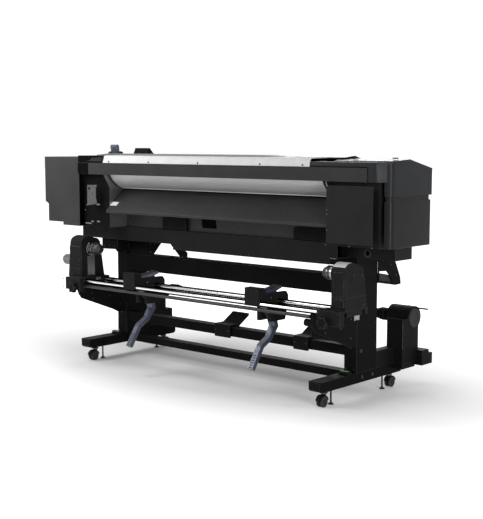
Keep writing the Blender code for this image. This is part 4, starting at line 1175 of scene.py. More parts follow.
def add_support(side):
    """Roll support with its lifting lever: rubber tread, foot pad, pivot caps and screws."""
    support, lever = f"roll_support_{side}", f"lift_lever_{side}"
    skin(support, "holder_black", 0.0018)
    low, high = span(support)
    middle = centre(support).x

    def taper(bm):
        for vert in bm.verts:
            if vert.co.z < TAPER_Z:
                share = 1 - 0.36 * min(1.0, (TAPER_Z - vert.co.z) / 0.10)
                vert.co.x = middle + (vert.co.x - middle) * share

    skin(lever, "lever_paint", 0.0050, 3, shape=taper)
    lever_body = body_of(lever)

    def cross_ribs(name, start, end, count, low, high):
        """Rubber ribs in a row from start to end, each from low to high before it is tilted."""
        slope = Matrix.Rotation(math.atan2(end.z - start.z, end.y - start.y), 4, "X")

        def ribs(bm):
            for point in row(start, end, count):
                rib = add_block(bm, low, high)
                bmesh.ops.transform(bm, matrix=Matrix.Translation(point) @ slope, verts=rib)

        fittings(name, lever_body, "rubber", ribs, 0.0006)

    start, end = Vector((0, -0.396, 0.5832)), Vector((0, -0.268, 0.6023))
    block = ((middle - 0.021, -0.0035, 0.0), (middle + 0.021, 0.0035, 0.0022))
    cross_ribs(f"{lever}_tread", start, end, 9, *block)
    start, end = Vector((0, -0.4425, 0.2445)), Vector((0, -0.4795, 0.1855))
    block = ((middle - 0.011, -0.003, -0.0008), (middle + 0.011, 0.003, 0.0014))
    cross_ribs(f"{lever}_foot_pad", start, end, 6, *block)

    pivot_y, pivot_z = LIFT_PIVOT
    ends = [((low.x + 0.0040, pivot_y, pivot_z), LEFT), ((high.x - 0.0040, pivot_y, pivot_z), RIGHT)]
    screws(f"{lever}_pivot_caps", lever_body, ends, "zinc_screw", 0.0058)
    spots = [(-0.262, 0.556), (-0.262, 0.452), (-0.350, 0.452)]
    places = [((high.x, y, z), RIGHT) for y, z in spots] + [((low.x, y, z), LEFT) for y, z in spots]
    places += [((x, low.y, z), REAR) for x in (low.x + 0.014, high.x - 0.014) for z in (0.540, 0.594)]
    screws(f"{support}_screws", body_of(support), places, "black_screw", 0.0038)


class PRINTER_OT_supports(bpy.types.Operator):
    """Dress the roll supports and lifting levers and add their treads and caps"""

    bl_idname = "printer.supports"
    bl_label = "Roll supports and levers"

    def execute(self, context):
        for side in SIDES:
            add_support(side)
        return {"FINISHED"}


# ---- Body ---------------------------------------------------------------------------------
BASE_LIP_Y = -0.200
BASE_WALL_Y = -0.100
BASE_SKIRT = 0.033  # how far the base's skirt reaches below its floor
CABLE_HOLE = (1.030, BASE_WALL_Y, 0.793)
SLOT_WALL_Y = -0.172


def add_grommet():
    """Rubber ring in the cable hole of the base."""
    ring = [(-0.005, 0.0135), (-0.005, 0.0170), (-0.0035, 0.0175), (-0.0035, 0.0205)]
    ring += [(0.0, 0.0215), (0.0015, 0.0195), (0.0022, 0.0165), (0.0010, 0.0138)]
    x, y, z = CABLE_HOLE
    turned("base_grommet", "root", "rubber", ring, (x, y - GAP, z), REAR)


def dress_base():
    hole = bmesh.new()
    drill = [(-0.02, 0.0), (-0.02, 0.0178), (0.02, 0.0178), (0.02, 0.0)]
    add_turned(hole, drill, CABLE_HOLE, REAR, 32)
    skin("base_frame", "panel_black", 0.0016, cutter=hole)
    add_grommet()
    spots = [(-0.930, 0.778), (-0.930, 0.832), (-0.240, 0.742), (0.300, 0.742), (0.790, 0.742)]
    places = [((x, BASE_LIP_Y, z), REAR) for x, z in spots]
    places += [((x, BASE_WALL_Y, z), REAR) for x in (0.950, 1.150) for z in (0.830, 0.778)]
    screws("base_screws", "root", places, "black_screw", 0.0045)


def add_cable_tray():
    """Closed cable tray that hangs under the left end of the base, behind the leg."""
    under = span("base_frame")[0].z + BASE_SKIRT - GAP
    rear = -0.158
    outline = [(-0.985, under), (-0.985, under - 0.066), (-0.974, under - 0.073), (-0.862, under - 0.070)]
    outline += [(-0.838, under - 0.088), (-0.838, under)]
    plate("cable_tray", "root", "black_paint", "frame_black", outline, "Y", rear, -0.062, 0.0020)
    places = [((x, rear, under - 0.050), REAR) for x in (-0.960, -0.914, -0.868)]
    screws("cable_tray_screws", "root", places, "black_screw", 0.0040)


def dress_platen():
    """Platen with rows of suction holes and the groove of the cutting strip."""
    low, high = span("platen_frame")
    top = high.z
    holes = bmesh.new()
    drill = [(-0.0016, 0.0), (-0.0016, 0.0018), (0.002, 0.0018), (0.002, 0.0)]
    for y in (0.010, 0.062):
        for point in row((low.x + 0.04, y, top), (high.x - 0.04, y, top), sizes().holes):
            add_turned(holes, drill, point, UP, 10)
    add_block(holes, (low.x + 0.01, -0.036, top - 0.0014), (high.x - 0.01, -0.028, top + 0.002))
    skin("platen_frame", "feed_black", 0.0014, cutter=holes)
    strip = ((low.x + 0.012, -0.0354, top - 0.0012), (high.x - 0.012, -0.0286, top + 0.0006))
    blocks("cutting_strip", "root", "button_plastic", [strip], 0.0003)


def dress_side_frames():
    """Side frames, of which the left one keeps a bare zinc face towards the slot."""
    made = skin("left_side_frame", "frame_black", 0.0010)
    inner = span("left_side_frame")[1].x
    accent(made, "galvanized", lambda face: face.normal.x > 0.9 and face.center.x > inner - 0.001)
    skin("right_side_frame", "panel_black", 0.0010)
    screws("frame_wall_screws", "root", [((inner, -0.271, 1.068), RIGHT)], "black_screw", 0.0045)


def add_rear_bracket():
    """Zinc bracket and cable clips on the rear of the left side frame."""
    rear = span("left_side_frame")[0].y - GAP
    face = rear - 0.0025
    outline = [(-0.883, 1.104), (-0.792, 1.106), (-0.802, 1.085), (-0.804, 1.030), (-0.794, 1.000)]
    outline += [(-0.805, 0.989), (-0.894, 0.977), (-0.883, 0.994)]
    plate("rear_bracket", "root", "galvanized", "dull_zinc", outline, "Y", face, rear, 0.0005)
    hole = [(0.0, 0.0), (0.0, 0.0085), (0.0006, 0.0080), (0.0006, 0.0)]

    # Thin dark discs of painted shade stand for the bracket's holes.
    def holes(bm):
        add_turned(bm, hole, (-0.865, face, 1.083), REAR, 24)
        add_turned(bm, [(h, r * 0.45) for h, r in hole], (-0.836, face, 1.050), REAR, 16)

    fittings("rear_bracket_holes", "root", "shadow_black", holes)
    spots = [(-0.873, 1.060), (-0.816, 1.094), (-0.820, 1.060), (-0.836, 1.000)]
    places = [((x, face, z), REAR) for x, z in spots] + [((-0.905, rear, 0.950), REAR)]
    screws("rear_bracket_screws", "root", places, "dull_zinc", 0.0040)
    clips = []
    for x, z, half in ((-0.780, 0.988, 0.0125), (-0.833, 0.882, 0.0100), (-0.778, 0.884, 0.0130)):
        clips.append(((x - half, rear - 0.0060, z - 0.0045), (x + half, rear, z + 0.0045)))
        half *= 0.5
        clips.append(((x - half, rear - 0.0085, z - 0.0022), (x + half, rear - 0.0055, z + 0.0022)))
    clips.append(((-0.900, rear - 0.0040, 0.866), (-0.846, rear, 0.873)))
    blocks("cable_clips", "root", "zinc_screw", clips, 0.0008)


def add_frame_plates():
    """Raised rear panel of the right side frame, and the boxes in the wall under the slot, with a dark plate
    of painted shade for a recess.
    """
    rear = span("right_side_frame")[0].y - GAP
    outline = [(0.9560, 0.862), (1.2385, 0.862), (1.2385, 1.150), (0.9660, 1.150), (0.9560, 1.140)]
    plate("frame_panel", "root", "black_paint", "cover_grey", outline, "Y", rear - 0.0016, rear, 0.0008)
    spots = [(1.098, 0.852), (1.234, 0.852), (0.9535, 0.852)]
    places = [((x, rear + GAP, z), REAR) for x, z in spots]
    places += [((0.9610, rear - 0.0016, z), REAR) for z in (1.028, 1.006, 0.926)]
    screws("frame_panel_screws", "root", places, "dull_zinc", 0.0038)

    wall = SLOT_WALL_Y - GAP
    boxes = [((-0.394, wall - 0.022, 0.849), (-0.198, wall, 0.921))]
    boxes += [((0.612, wall - 0.022, 0.849), (0.940, wall, 0.912))]
    blocks("wall_boxes", "root", "plastic_black", boxes, 0.0014)
    # A thin dark plate of painted shade stands for the recess.
    recess = [(-0.089, 0.926), (0.022, 0.926), (0.030, 0.870), (-0.081, 0.870)]
    plate("wall_recess", "root", "black_plastic", "shadow_black", recess, "Y", wall - 0.0012, wall)
    spots = [(-0.672, 0.903), (-0.700, 0.873), (-0.416, 0.915), (-0.416, 0.860)]
    spots += [(0.595, 0.905), (0.595, 0.860), (0.200, 0.905), (0.200, 0.860)]
    screws("wall_screws", "root", [((x, wall + GAP, z), REAR) for x, z in spots], "dull_zinc", 0.0036)


class PRINTER_OT_body(bpy.types.Operator):
    """Dress the base, platen and side frames and add their brackets, boxes and screws"""

    bl_idname = "printer.body"
    bl_label = "Base and frames"

    def execute(self, context):
        dress_base()
        add_cable_tray()
        dress_platen()
        dress_side_frames()
        add_rear_bracket()
        add_frame_plates()
        return {"FINISHED"}


def add_strip_screws():
    """Dark screws along the bright strip and the beam, and at the beam's left end a black sheet of painted
    shade and a grey plate of painted highlight.
    """
    strip_out = Vector((0.0, -0.965, 0.261))
    places = [((x, -0.3558, 1.2490), strip_out) for x in (-0.686, -0.339, 0.058, 0.514, 0.801)]
    screws("strip_screws", "root", places, "black_screw", 0.0050)
    rear = span("rear_beam")[0].y

    # Black sheets of painted shade over the beam's left end and the block above it.
    def painted_shade_end(bm):
        add_block(bm, (-0.9688, rear - 0.0016, 1.1715), (-0.872, rear - GAP, 1.2385))
        outline = [(-0.9675, 1.2410), (-0.7405, 1.2410), (-0.7405, 1.2835), (-0.9675, 1.2835)]
        add_prism(bm, outline, "Y", rear + 0.0011, rear + 0.0027)

    fittings("beam_end_cover", "root", "shadow_black", painted_shade_end, 0.0006)
    # Grey plate of painted highlight on the block's rear face.
    highlight_outline = [(-0.888, 1.2500), (-0.746, 1.2500), (-0.746, 1.2740), (-0.842, 1.2680), (-0.855, 1.2560)]
    look = ("grey_paint", "cap_grey")
    plate("beam_end_patch", "root", *look, highlight_outline, "Y", rear - 0.0002, rear + 0.0008, 0.0004)
    places = [((x, rear, 1.205), REAR) for x in (-0.300, 0.420, 1.150)]
    screws("beam_screws", "root", places, "black_screw", 0.0032)


def add_guide_fittings():
    """Rolled hem of the guide sheet, its end plate on the right and the feed plate's light tab."""
    low, high = span("inner_guide")
    long = high.x - low.x
    hem = [(0.0, 0.0), (0.0, 0.0017), (0.0006, 0.0022), (long - 0.0006, 0.0022), (long, 0.0017), (long, 0.0)]
    at = (low.x, -0.2205, low.z - 0.0012)
    turned("guide_hem", "root", "brushed_aluminium", hem, at, RIGHT, 16)
    end = [(0.9035, 1.1685), (0.9505, 1.1685), (0.9505, 1.083), (0.9420, 1.083)]
    plate("guide_end_plate", "root", "galvanized", "galvanized", end, "Y", -0.3020, -0.3000, 0.0004)
    tab = [(-0.2875, 1.0021), (-0.3105, 0.9812), (-0.3118, 0.9826), (-0.2888, 1.0035)]
    plate("feed_plate_tab", "root", "aluminium", "blank_label", tab, "X", -0.733, -0.672, 0.0004)


class PRINTER_OT_feed_slot(bpy.types.Operator):
    """Dress the rear beam, bright strip, guide sheet and feed plate"""

    bl_idname = "printer.feed_slot"
    bl_label = "Feed slot"

    def execute(self, context):
        skin("rear_beam", "beam_grey", 0.0022, 3)
        skin("top_strip", "strip_white", 0.0012)
        skin("inner_guide", "brushed_aluminium", 0.0008)
        skin("feed_plate", "feed_black", 0.0010)
        add_strip_screws()
        add_guide_fittings()
        return {"FINISHED"}


# ---- Covers -------------------------------------------------------------------------------
def louvres(x, y, z_low, z_high, count, depth):
    """Cutter for a group of louvres in a wall that faces along X."""
    cutter = bmesh.new()
    half = 0.0030
    for point in row((x, 0, z_low), (x, 0, z_high), count):
        add_block(cutter, (x - depth, y[0], point.z - half), (x + depth, y[1], point.z + half))
    return cutter


COVER_SINK = 0.0030  # how deep the side screws stand in the left cover
BAND_TOP_Z = 1.268
BAND_END_X = 1.2495
BAND_DROP_Y = -0.353  # the cap's band lies behind this


def dress_left_cover():
    """Left end housing with louvres, two seams and its screws, of which the side ones are sunk."""
    low, high = span("left_cover")
    cutter = louvres(low.x, (-0.180, -0.060), 1.030, 1.130, 8, 0.0024)
    side_spots = [(-0.330, 0.998), (-0.330, 1.250), (0.130, 1.250), (0.110, 0.998)]
    sink = [(-0.001, 0.0), (-0.001, 0.0058), (0.0012, 0.0050), (0.0012, 0.0)]
    for y, z in side_spots:
        add_turned(cutter, sink, (low.x, y, z), RIGHT, 24)
    top = high.z - 0.012
    add_block(cutter, (high.x - 0.0135, low.y - 0.01, 0.8600), (high.x - 0.0123, low.y + 0.0010, top))
    add_block(cutter, (low.x - 0.01, -0.0220, 0.80), (low.x + 0.0010, -0.0208, top))
    skin("left_cover", "housing_grey", 0.0042, 3, cutter=cutter)
    spots = [(-0.989, 0.917), (-0.994, 0.873), (-1.240, 0.898), (-1.037, 0.871)]
    places = [((x, low.y, z), REAR) for x, z in spots]
    places += [((low.x + COVER_SINK, y, z), LEFT) for y, z in side_spots]
    screws("left_cover_screws", "root", places, "black_screw", 0.0046)


def dress_right_covers():
    """Right lower cover with its screws, and the upper cap with a rounded band and two plugs."""
    skin("right_cover", "cover_grey", 0.0020, 3)

    def band_edge(a, b):
        """Whether an edge lies along the band's top or down the outer corners of its drop."""
        if abs(a.y - b.y) >= WELD:
            return False
        along = abs(a.z - b.z) < WELD and abs(a.z - BAND_TOP_Z) < 0.0004 and a.y < BAND_DROP_Y - 0.001
        down = abs(a.x - b.x) < WELD and a.y < BAND_DROP_Y and abs(a.x - BAND_END_X) < 0.0012
        return along or down

    def rounded(bm):
        round_edges(bm, band_edge, 0.0095)

    skin("right_cap", "cap_grey", 0.0030, 3, shape=rounded)
    front = span("right_cover")[1].y
    places = [((1.000, front, z), FRONT) for z in (0.872, 1.052)]
    screws("right_cover_screws", "root", places, "black_screw", 0.0046)
    plug = [(0.0, 0.0), (0.0, 0.0150), (0.0015, 0.0155), (0.0050, 0.0140), (0.0060, 0.0120), (0.0060, 0.0)]

    def plugs(bm):
        for x in (1.023, 1.258):
            add_turned(bm, plug, (x, -0.200, 1.2830), UP, 32)

    fittings("cap_plugs", "root", "plastic_black", plugs)


def dress_lid():
    """Lid with its two smoked windows, a grip and screws along the front."""
    body = body_of("front_cover")
    skin("front_cover", "cover_grey", 0.0014)
    start, end = Vector((0.2132, 1.1764)), Vector((0.0668, 1.2425))
    slope = (end - start).normalized()
    out = Vector((slope.y, -slope.x))
    low, high = span("front_cover")

    def window(bm):
        a = start + slope * 0.018 + out * 0.0005
        b = end - slope * 0.018 + out * 0.0005
        outline = [tuple(p) for p in (a, b, b + out * 0.0020, a + out * 0.0020)]
        for x0, x1 in ((low.x + 0.060, -0.030), (0.0, high.x - 0.060)):
            add_prism(bm, outline, "X", x0, x1)

    fittings("lid_window", body, "smoked_window", window, 0.0010)

    def grip(bm):
        outline = [(0.2455, 1.0300), (0.2455, 1.0600), (0.2560, 1.0560), (0.2600, 1.0450), (0.2560, 1.0340)]
        add_prism(bm, outline, "X", -0.180, 0.180)

    fittings("lid_grip", body, "plastic_black", grip, 0.0020, 3)
    spots = [(x, 1.128) for x in (low.x + 0.03, -0.30, 0.30, high.x - 0.03)]
    screws("lid_screws", body, [((x, 0.245, z), FRONT) for x, z in spots], "black_screw", 0.0042)


def dress_after_guide():
    """Front guide with an opening in its right end plate and a light lining behind it."""
    side = span("after_guide")[1].x
    window = bmesh.new()
    outline = [(0.128, 0.672), (0.200, 0.667), (0.238, 0.632), (0.262, 0.600), (0.130, 0.622)]
    add_prism(window, outline, "X", side - 0.015, side + 0.01)
    skin("after_guide", "frame_black", 0.0010, cutter=window)
    lining = [(0.124, 0.664), (0.250, 0.640), (0.270, 0.600), (0.266, 0.5935), (0.124, 0.6195)]
    look = ("black_paint", "cap_grey")
    plate("guide_lining", "root", *look, lining, "X", side - 0.0140, side - 0.0105, 0.0006)
    spots = [(0.160, 0.730), (0.290, 0.640), (0.240, 0.700)]
    places = [((side - 0.0018, y, z), RIGHT) for y, z in spots]
    screws("guide_plate_screws", "root", places, "dull_zinc", 0.0040)


class PRINTER_OT_covers(bpy.types.Operator):
    """Dress the end covers, cap, lid and front guide"""

    bl_idname = "printer.covers"
    bl_label = "Covers"

    def execute(self, context):
        dress_left_cover()
        dress_right_covers()
        dress_lid()
        dress_after_guide()
        return {"FINISHED"}


# ---- Operator side ------------------------------------------------------------------------
PANEL_PIVOT = (0.262, 1.2823)  # the control panel's hinge in Y and Z
LEVER_PIVOT = (0.120, 1.2843)  # the loading lever's pivot in Y and Z
LEVER_LENGTH = 0.056


def pivot_caps(name, node, pivot, look, radius):
    """Screw at each end of a pivot that runs along X through a moving node."""
    low, high = span(node)
    places = [((low.x, *pivot), LEFT), ((high.x, *pivot), RIGHT)]
    screws(name, body_of(node), places, look, radius)


def add_panel_face():
    """Blank screen and plain buttons on the sloping face of the control panel."""
    body = body_of("control_panel")
    low, high = span("control_panel")
    skin("control_panel", "plastic_black", 0.0014, 3)
    foot, head = Vector((0.3310, 1.2813)), Vector((0.2860, 1.3273))
    slope = (head - foot).normalized()
    out = Vector((slope.y, -slope.x))

    def on_slope(bm, x0, x1, t0, t1, rise):
        a, b = foot.lerp(head, t0) + out * 0.0004, foot.lerp(head, t1) + out * 0.0004
        add_prism(bm, [tuple(p) for p in (a, b, b + out * rise, a + out * rise)], "X", x0, x1)

    def screen(bm):
        on_slope(bm, low.x + 0.012, low.x + 0.072, 0.40, 0.90, 0.0010)

    fittings("panel_screen", body, "screen_glass", screen, 0.0006)

    def buttons(bm):
        for i in range(3):
            for j in range(2):
                x = low.x + 0.086 + i * 0.013
                on_slope(bm, x - 0.0045, x + 0.0045, 0.42 + j * 0.26, 0.58 + j * 0.26, 0.0022)
        for i in range(4):
            x = low.x + 0.018 + i * 0.0165
            on_slope(bm, x - 0.005, x + 0.005, 0.14, 0.27, 0.0018)
        on_slope(bm, high.x - 0.030, high.x - 0.010, 0.12, 0.30, 0.0022)

    fittings("panel_buttons", body, "button_plastic", buttons, 0.0005)
    pivot_caps("panel_hinge_caps", "control_panel", PANEL_PIVOT, "black_screw", 0.0050)


def add_loading_lever():
    """Loading lever with its pivot caps and four grip ribs on its front."""
    skin("loading_lever", "lever_paint", 0.0022, 3)
    pivot_caps("loading_lever_caps", "loading_lever", LEVER_PIVOT, "zinc_screw", 0.0044)
    low, high = span("loading_lever")
    middle = (low.x + high.x) / 2
    ribs = []
    for z in (1.306, 1.313, 1.320, 1.327):
        y = LEVER_PIVOT[0] + 0.010 - 0.004 * (z - 1.284) / LEVER_LENGTH
        ribs.append(((middle - 0.020, y - 0.0015, z - 0.0012), (middle + 0.020, y + 0.0012, z + 0.0012)))
    blocks("loading_lever_ribs", body_of("loading_lever"), "rubber", ribs, 0.0004)


class PRINTER_OT_controls(bpy.types.Operator):
    """Build the control panel's face and the loading lever's fittings"""

    bl_idname = "printer.controls"
    bl_label = "Controls"

    def execute(self, context):
        add_panel_face()
        add_loading_lever()
        return {"FINISHED"}


# ---- Print drive --------------------------------------------------------------------------
NOSE = Vector((0.0, -0.165, 1.1103))
PIVOT = Vector((0.0, -0.135, 1.1500))
PATH = (-0.7347, 0.9517)  # ends of the media path in X
PATH_INSET = 0.070  # from an end of the path to the middle of the first roller


def add_feed_roller():
    """Feed roller with gripping bands between smooth steel."""
    node = "feed_roller"
    low, high = span(node)
    middle = centre(node)
    radius, long = (high.z - low.z) / 2, high.x - low.x
    start, end = PATH[0] - low.x, PATH[1] - low.x
    profile = [(0.0, 0.0), (0.0, 0.0052), (0.0008, 0.0060), (start, 0.0060), (start, radius - 0.0026)]
    profile += [(start + 0.001, radius - 0.0012), (end - 0.001, radius - 0.0012), (end, radius - 0.0026)]
    profile += [(end, 0.0060), (long - 0.0008, 0.0060), (long, 0.0052), (long, 0.0)]
    at = Vector((low.x, middle.y, middle.z))
    turned_part(node, "satin_steel", profile, at, RIGHT)

    def bands(bm):
        for point in row((start + PATH_INSET, 0, 0), (end - PATH_INSET, 0, 0), sizes().rollers):
            ring = [(-0.030, 0.0130), (-0.030, radius - 0.0006), (-0.0294, radius), (0.0294, radius)]
            ring += [(0.030, radius - 0.0006), (0.030, 0.0130)]
            add_turned(bm, ring, at + Vector((point.x, 0, 0)), RIGHT)

    fittings("feed_roller_bands", body_of(node), "grit", bands)


def add_pinch_rollers():
    """Row of sprung arms on one shaft, each with a rubber roller over a feed roller band."""
    node = "pinch_bar"
    low, high = span(node)
    half = [(0.0, 0.0), (0.0, 0.0042), (0.0008, 0.0050)]
    shaft = half + [(high.x - low.x - along, r) for along, r in half[::-1]]
    turned_part(node, "satin_steel", shaft, (low.x, PIVOT.y, PIVOT.z), RIGHT, name="pinch_shaft")
    slots = row((PATH[0] + PATH_INSET, 0, 0), (PATH[1] - PATH_INSET, 0, 0), sizes().rollers)
    body = body_of(node)
    slope = math.degrees(math.atan2(PIVOT.z - NOSE.z, PIVOT.y - NOSE.y))

    def arms(bm):
        outline = arc(NOSE.yz, 0.0075, slope + 90, slope + 270, 10)
        outline += arc(PIVOT.yz, 0.0080, slope - 90, slope + 90, 8)
        for point in slots:
            for side in (-0.034, 0.030):
                add_prism(bm, outline, "X", point.x + side, point.x + side + 0.004)
            add_block(bm, (point.x - 0.030, -0.140, 1.1440), (point.x + 0.030, -0.131, 1.1560))

    fittings("pinch_arms", body, "plastic_black", arms, 0.0006)

    def at_noses(name, look, profile, sides):
        """Piece with one turned profile in the nose of every arm."""

        def fill(bm):
            for point in slots:
                add_turned(bm, profile, (point.x, NOSE.y, NOSE.z), RIGHT, sides)

        fittings(name, body, look, fill)

    roller = [(-0.0290, 0.0), (-0.0290, 0.0080), (-0.0270, 0.0100)]
    roller += [(0.0270, 0.0100), (0.0290, 0.0080), (0.0290, 0.0)]
    at_noses("pinch_rollers", "rubber", roller, 32)
    pin = [(-0.0355, 0.0), (-0.0355, 0.0024), (0.0355, 0.0024), (0.0355, 0.0)]
    at_noses("pinch_pins", "zinc_screw", pin, 16)


def add_carriage():
    """Print carriage with two seams, three plates and screws on its front."""
    node = "carriage"
    body = body_of(node)
    low, high = span(node)
    seams = bmesh.new()
    for share in (0.3, 0.7):
        x = low.x + (high.x - low.x) * share
        add_block(seams, (x - 0.0007, 0.0985, low.z - 0.01), (x + 0.0007, 0.12, high.z + 0.01))
    skin(node, "plastic_black", 0.0022, 3, cutter=seams)
    front = 0.100
    plates = []
    for share in (0.15, 0.5, 0.85):
        x = low.x + (high.x - low.x) * share
        plates.append(((x - 0.022, front + GAP, 1.125), (x + 0.022, front + 0.0025, 1.170)))
    blocks("carriage_plates", body, "cover_grey", plates, 0.0012)
    places = [((x, front, z), FRONT) for z in (1.120, 1.178) for x in (low.x + 0.012, high.x - 0.012)]
    screws("carriage_screws", body, places, "zinc_screw", 0.0036)


def dress_carriage_rail():
    """Carriage rail with a row of clips on top."""
    skin("carriage_rail", "satin_steel", 0.0010)
    low, high = span("carriage_rail")
    spots = [point.x for point in row((low.x + 0.03, 0, 0), (high.x - 0.03, 0, 0), 14)]
    clips = [((x - 0.006, -0.086, 1.1735), (x + 0.006, -0.074, 1.1765)) for x in spots]
    blocks("rail_clips", "root", "plastic_black", clips, 0.0005)


class PRINTER_OT_print_drive(bpy.types.Operator):
    """Build the feed roller, pinch rollers, carriage and carriage rail"""

    bl_idname = "printer.print_drive"
    bl_label = "Print drive"

    def execute(self, context):
        add_feed_roller()
        add_pinch_rollers()
        add_carriage()
        dress_carriage_rail()
        return {"FINISHED"}


# ---- Take-up ------------------------------------------------------------------------------
TAKE_UP = Vector((0.0, 0.406, 0.392))
DRUM_X = (0.856, 1.001)  # inner and outer end of the drive post's drum


def add_take_up_hub(node, way, radius):
    """Hub of the take-up that faces `way`: a flanged nose with a rubber ring and eight ribs."""
    face, reach = hub_seat(node, way)
    at = Vector((face, TAKE_UP.y, TAKE_UP.z))
    profile = [
        (-HUB_BOSS, 0.0),
        (-HUB_BOSS, 0.0112),
        (-0.0272, 0.0118),
        (0.0006, 0.0118),
        (0.0006, radius - 0.0015),
        (0.0018, radius),
        (0.0105, radius),
        (0.0120, radius - 0.0012),
        (0.0140, 0.80 * radius),
        (0.30 * reach, 0.78 * radius),
        (0.305 * reach, 0.74 * radius),
        (0.325 * reach, 0.74 * radius),
        (0.33 * reach, 0.775 * radius),
        (0.55 * reach, 0.76 * radius),
        (0.92 * reach, 0.46 * radius),
        (0.985 * reach, 0.26 * radius),
        (reach, 0.20 * radius),
        (reach, 0.0),
    ]
    turned_part(node, "plastic_black", profile, at, way, 64)
    band = [(0.306 * reach, 0.72 * radius), (0.306 * reach, 0.765 * radius)]
    band += [(0.324 * reach, 0.765 * radius), (0.324 * reach, 0.72 * radius)]
    turned(f"{node}_ring", body_of(node), "rubber", band, at, way, 64)

    def ribs(bm):
        start, end = sorted((way.x * 0.36 * reach, way.x * 0.54 * reach))
        add_spokes(bm, at, 8, (start, -0.0020, 0.70 * radius), (end, 0.0020, 0.80 * radius))

    fittings(f"{node}_ribs", body_of(node), "plastic_black", ribs)


def dress_take_up_drive():
    """Drive post with rings and an end cap on its drum, a switch, a trim strip and screws."""
    skin("take_up_drive", "plastic_black", 0.0040, 3)

    def rings(bm):
        for offset in (0.012, 0.100):
            ring = [(offset, 0.0600), (offset, 0.0648), (offset + 0.003, 0.0648), (offset + 0.003, 0.0600)]
            add_turned(bm, ring, (DRUM_X[0], TAKE_UP.y, TAKE_UP.z), RIGHT, 64)
        cap = [(0.0003, 0.0), (0.0003, 0.0560), (0.0020, 0.0540)]
        cap += [(0.0020, 0.0300), (0.0008, 0.0285), (0.0008, 0.0)]
        add_turned(bm, cap, (DRUM_X[1], TAKE_UP.y, TAKE_UP.z), RIGHT, 64)

    fittings("drum_rings", "root", "cover_grey", rings)
    switch = [((0.920, 0.4483, 0.300), (0.975, 0.4515, 0.350))]
    switch += [((x, 0.4510, 0.308), (x + 0.014, 0.4560, 0.342)) for x in (0.930, 0.951)]
    blocks("drive_switch", "root", "button_plastic", switch, 0.0010)
    trim = ((0.9988, 0.2890, 0.224), (1.0004, 0.2897, 0.386))
    blocks("drive_trim", "root", "zinc_screw", [trim])
    places = [((x, 0.448, 0.160), FRONT) for x in (0.910, 0.985)]
    places += [((1.000, y, z), RIGHT) for y, z in ((0.305, 0.235), (0.432, 0.235), (0.305, 0.310))]
    screws("drive_screws", "root", places, "black_screw", 0.0042)


class PRINTER_OT_take_up(bpy.types.Operator):
    """Dress the take-up drive and idler and build their hubs and the core rests"""

    bl_idname = "printer.take_up"
    bl_label = "Take-up"

    def execute(self, context):
        dress_take_up_drive()
        skin("take_up_idler", "plastic_black", 0.0024, 3)
        add_take_up_hub("drive_hub", LEFT, 0.046)
        add_take_up_hub("idler_hub", RIGHT, 0.020)
        for side in SIDES:
            node = f"core_rest_{side}"
            skin(node, "plastic_black", 0.0022, 3)
            low, high = span(node)
            places = [((x, low.y, 0.262), REAR) for x in (low.x + 0.012, high.x - 0.012)]
            screws(f"{node}_screws", "root", places, "dull_zinc", 0.0036)
        return {"FINISHED"}


# ---- Stage --------------------------------------------------------------------------------
def white_for(rays, tree, white, other):
    """Shader that is `white` to the given ray kinds and `other` to the rest."""
    path = tree.nodes.new("ShaderNodeLightPath")
    mask = None
    for ray in rays:
        if mask is None:
            mask = path.outputs[ray]
        else:
            both = tree.nodes.new("ShaderNodeMath")
            both.operation = "MAXIMUM"
            tree.links.new(mask, both.inputs[0])
            tree.links.new(path.outputs[ray], both.inputs[1])
            mask = both.outputs[0]
    mix = tree.nodes.new("ShaderNodeMixShader")
    tree.links.new(mask, mix.inputs["Fac"])
    tree.links.new(other, mix.inputs[1])
    tree.links.new(white, mix.inputs[2])
    return mix.outputs[0]


VIEW_RAYS = ("Is Camera Ray", "Is Glossy Ray", "Is Transmission Ray")


def build_world():
    world = bpy.data.worlds.new("surroundings")
    world.use_nodes = True
    bpy.context.scene.world = world
    tree = world.node_tree
    tree.nodes.clear()
    white = tree.nodes.new("ShaderNodeBackground")
    white.inputs["Color"].default_value = (1, 1, 1, 1)
    sky = tree.nodes.new("ShaderNodeBackground")
    level = stage_settings().sky
    sky.inputs["Color"].default_value = (level, level, level, 1)
    result = tree.nodes.new("ShaderNodeOutputWorld")
    shader = white_for(VIEW_RAYS, tree, white.outputs[0], sky.outputs[0])
    tree.links.new(shader, result.inputs["Surface"])


def floor_material():
    """White floor that keeps a soft grey shadow near the machine and whites out far from it."""
    material = bpy.data.materials.new("studio_floor")
    material.use_nodes = True
    tree = material.node_tree
    tree.nodes.clear()
    paint = tree.nodes.new("ShaderNodeBsdfDiffuse")
    paint.inputs["Color"].default_value = (0.90, 0.90, 0.90, 1)
    place = tree.nodes.new("ShaderNodeTexCoord")
    stretch = tree.nodes.new("ShaderNodeMapping")
    stretch.inputs["Location"].default_value = (0.20, 0.0, 0.0)
    stretch.inputs["Scale"].default_value = (0.58, 1.0, 1.0)
    tree.links.new(place.outputs["Object"], stretch.inputs["Vector"])
    reach = tree.nodes.new("ShaderNodeVectorMath")
    reach.operation = "LENGTH"
    tree.links.new(stretch.outputs["Vector"], reach.inputs[0])
    fade = tree.nodes.new("ShaderNodeMapRange")
    fade.inputs["From Min"].default_value = 0.55
    fade.inputs["From Max"].default_value = 1.90
    fade.inputs["To Min"].default_value = 0.06
    fade.inputs["To Max"].default_value = 1.0
    tree.links.new(reach.outputs["Value"], fade.inputs["Value"])
    glow = tree.nodes.new("ShaderNodeEmission")
    glow.inputs["Color"].default_value = (1, 1, 1, 1)
    tree.links.new(fade.outputs["Result"], glow.inputs["Strength"])
    lit = tree.nodes.new("ShaderNodeAddShader")
    tree.links.new(paint.outputs[0], lit.inputs[0])
    tree.links.new(glow.outputs[0], lit.inputs[1])
    result = tree.nodes.new("ShaderNodeOutputMaterial")
    tree.links.new(white_for(VIEW_RAYS, tree, lit.outputs[0], paint.outputs[0]), result.inputs["Surface"])
    return material


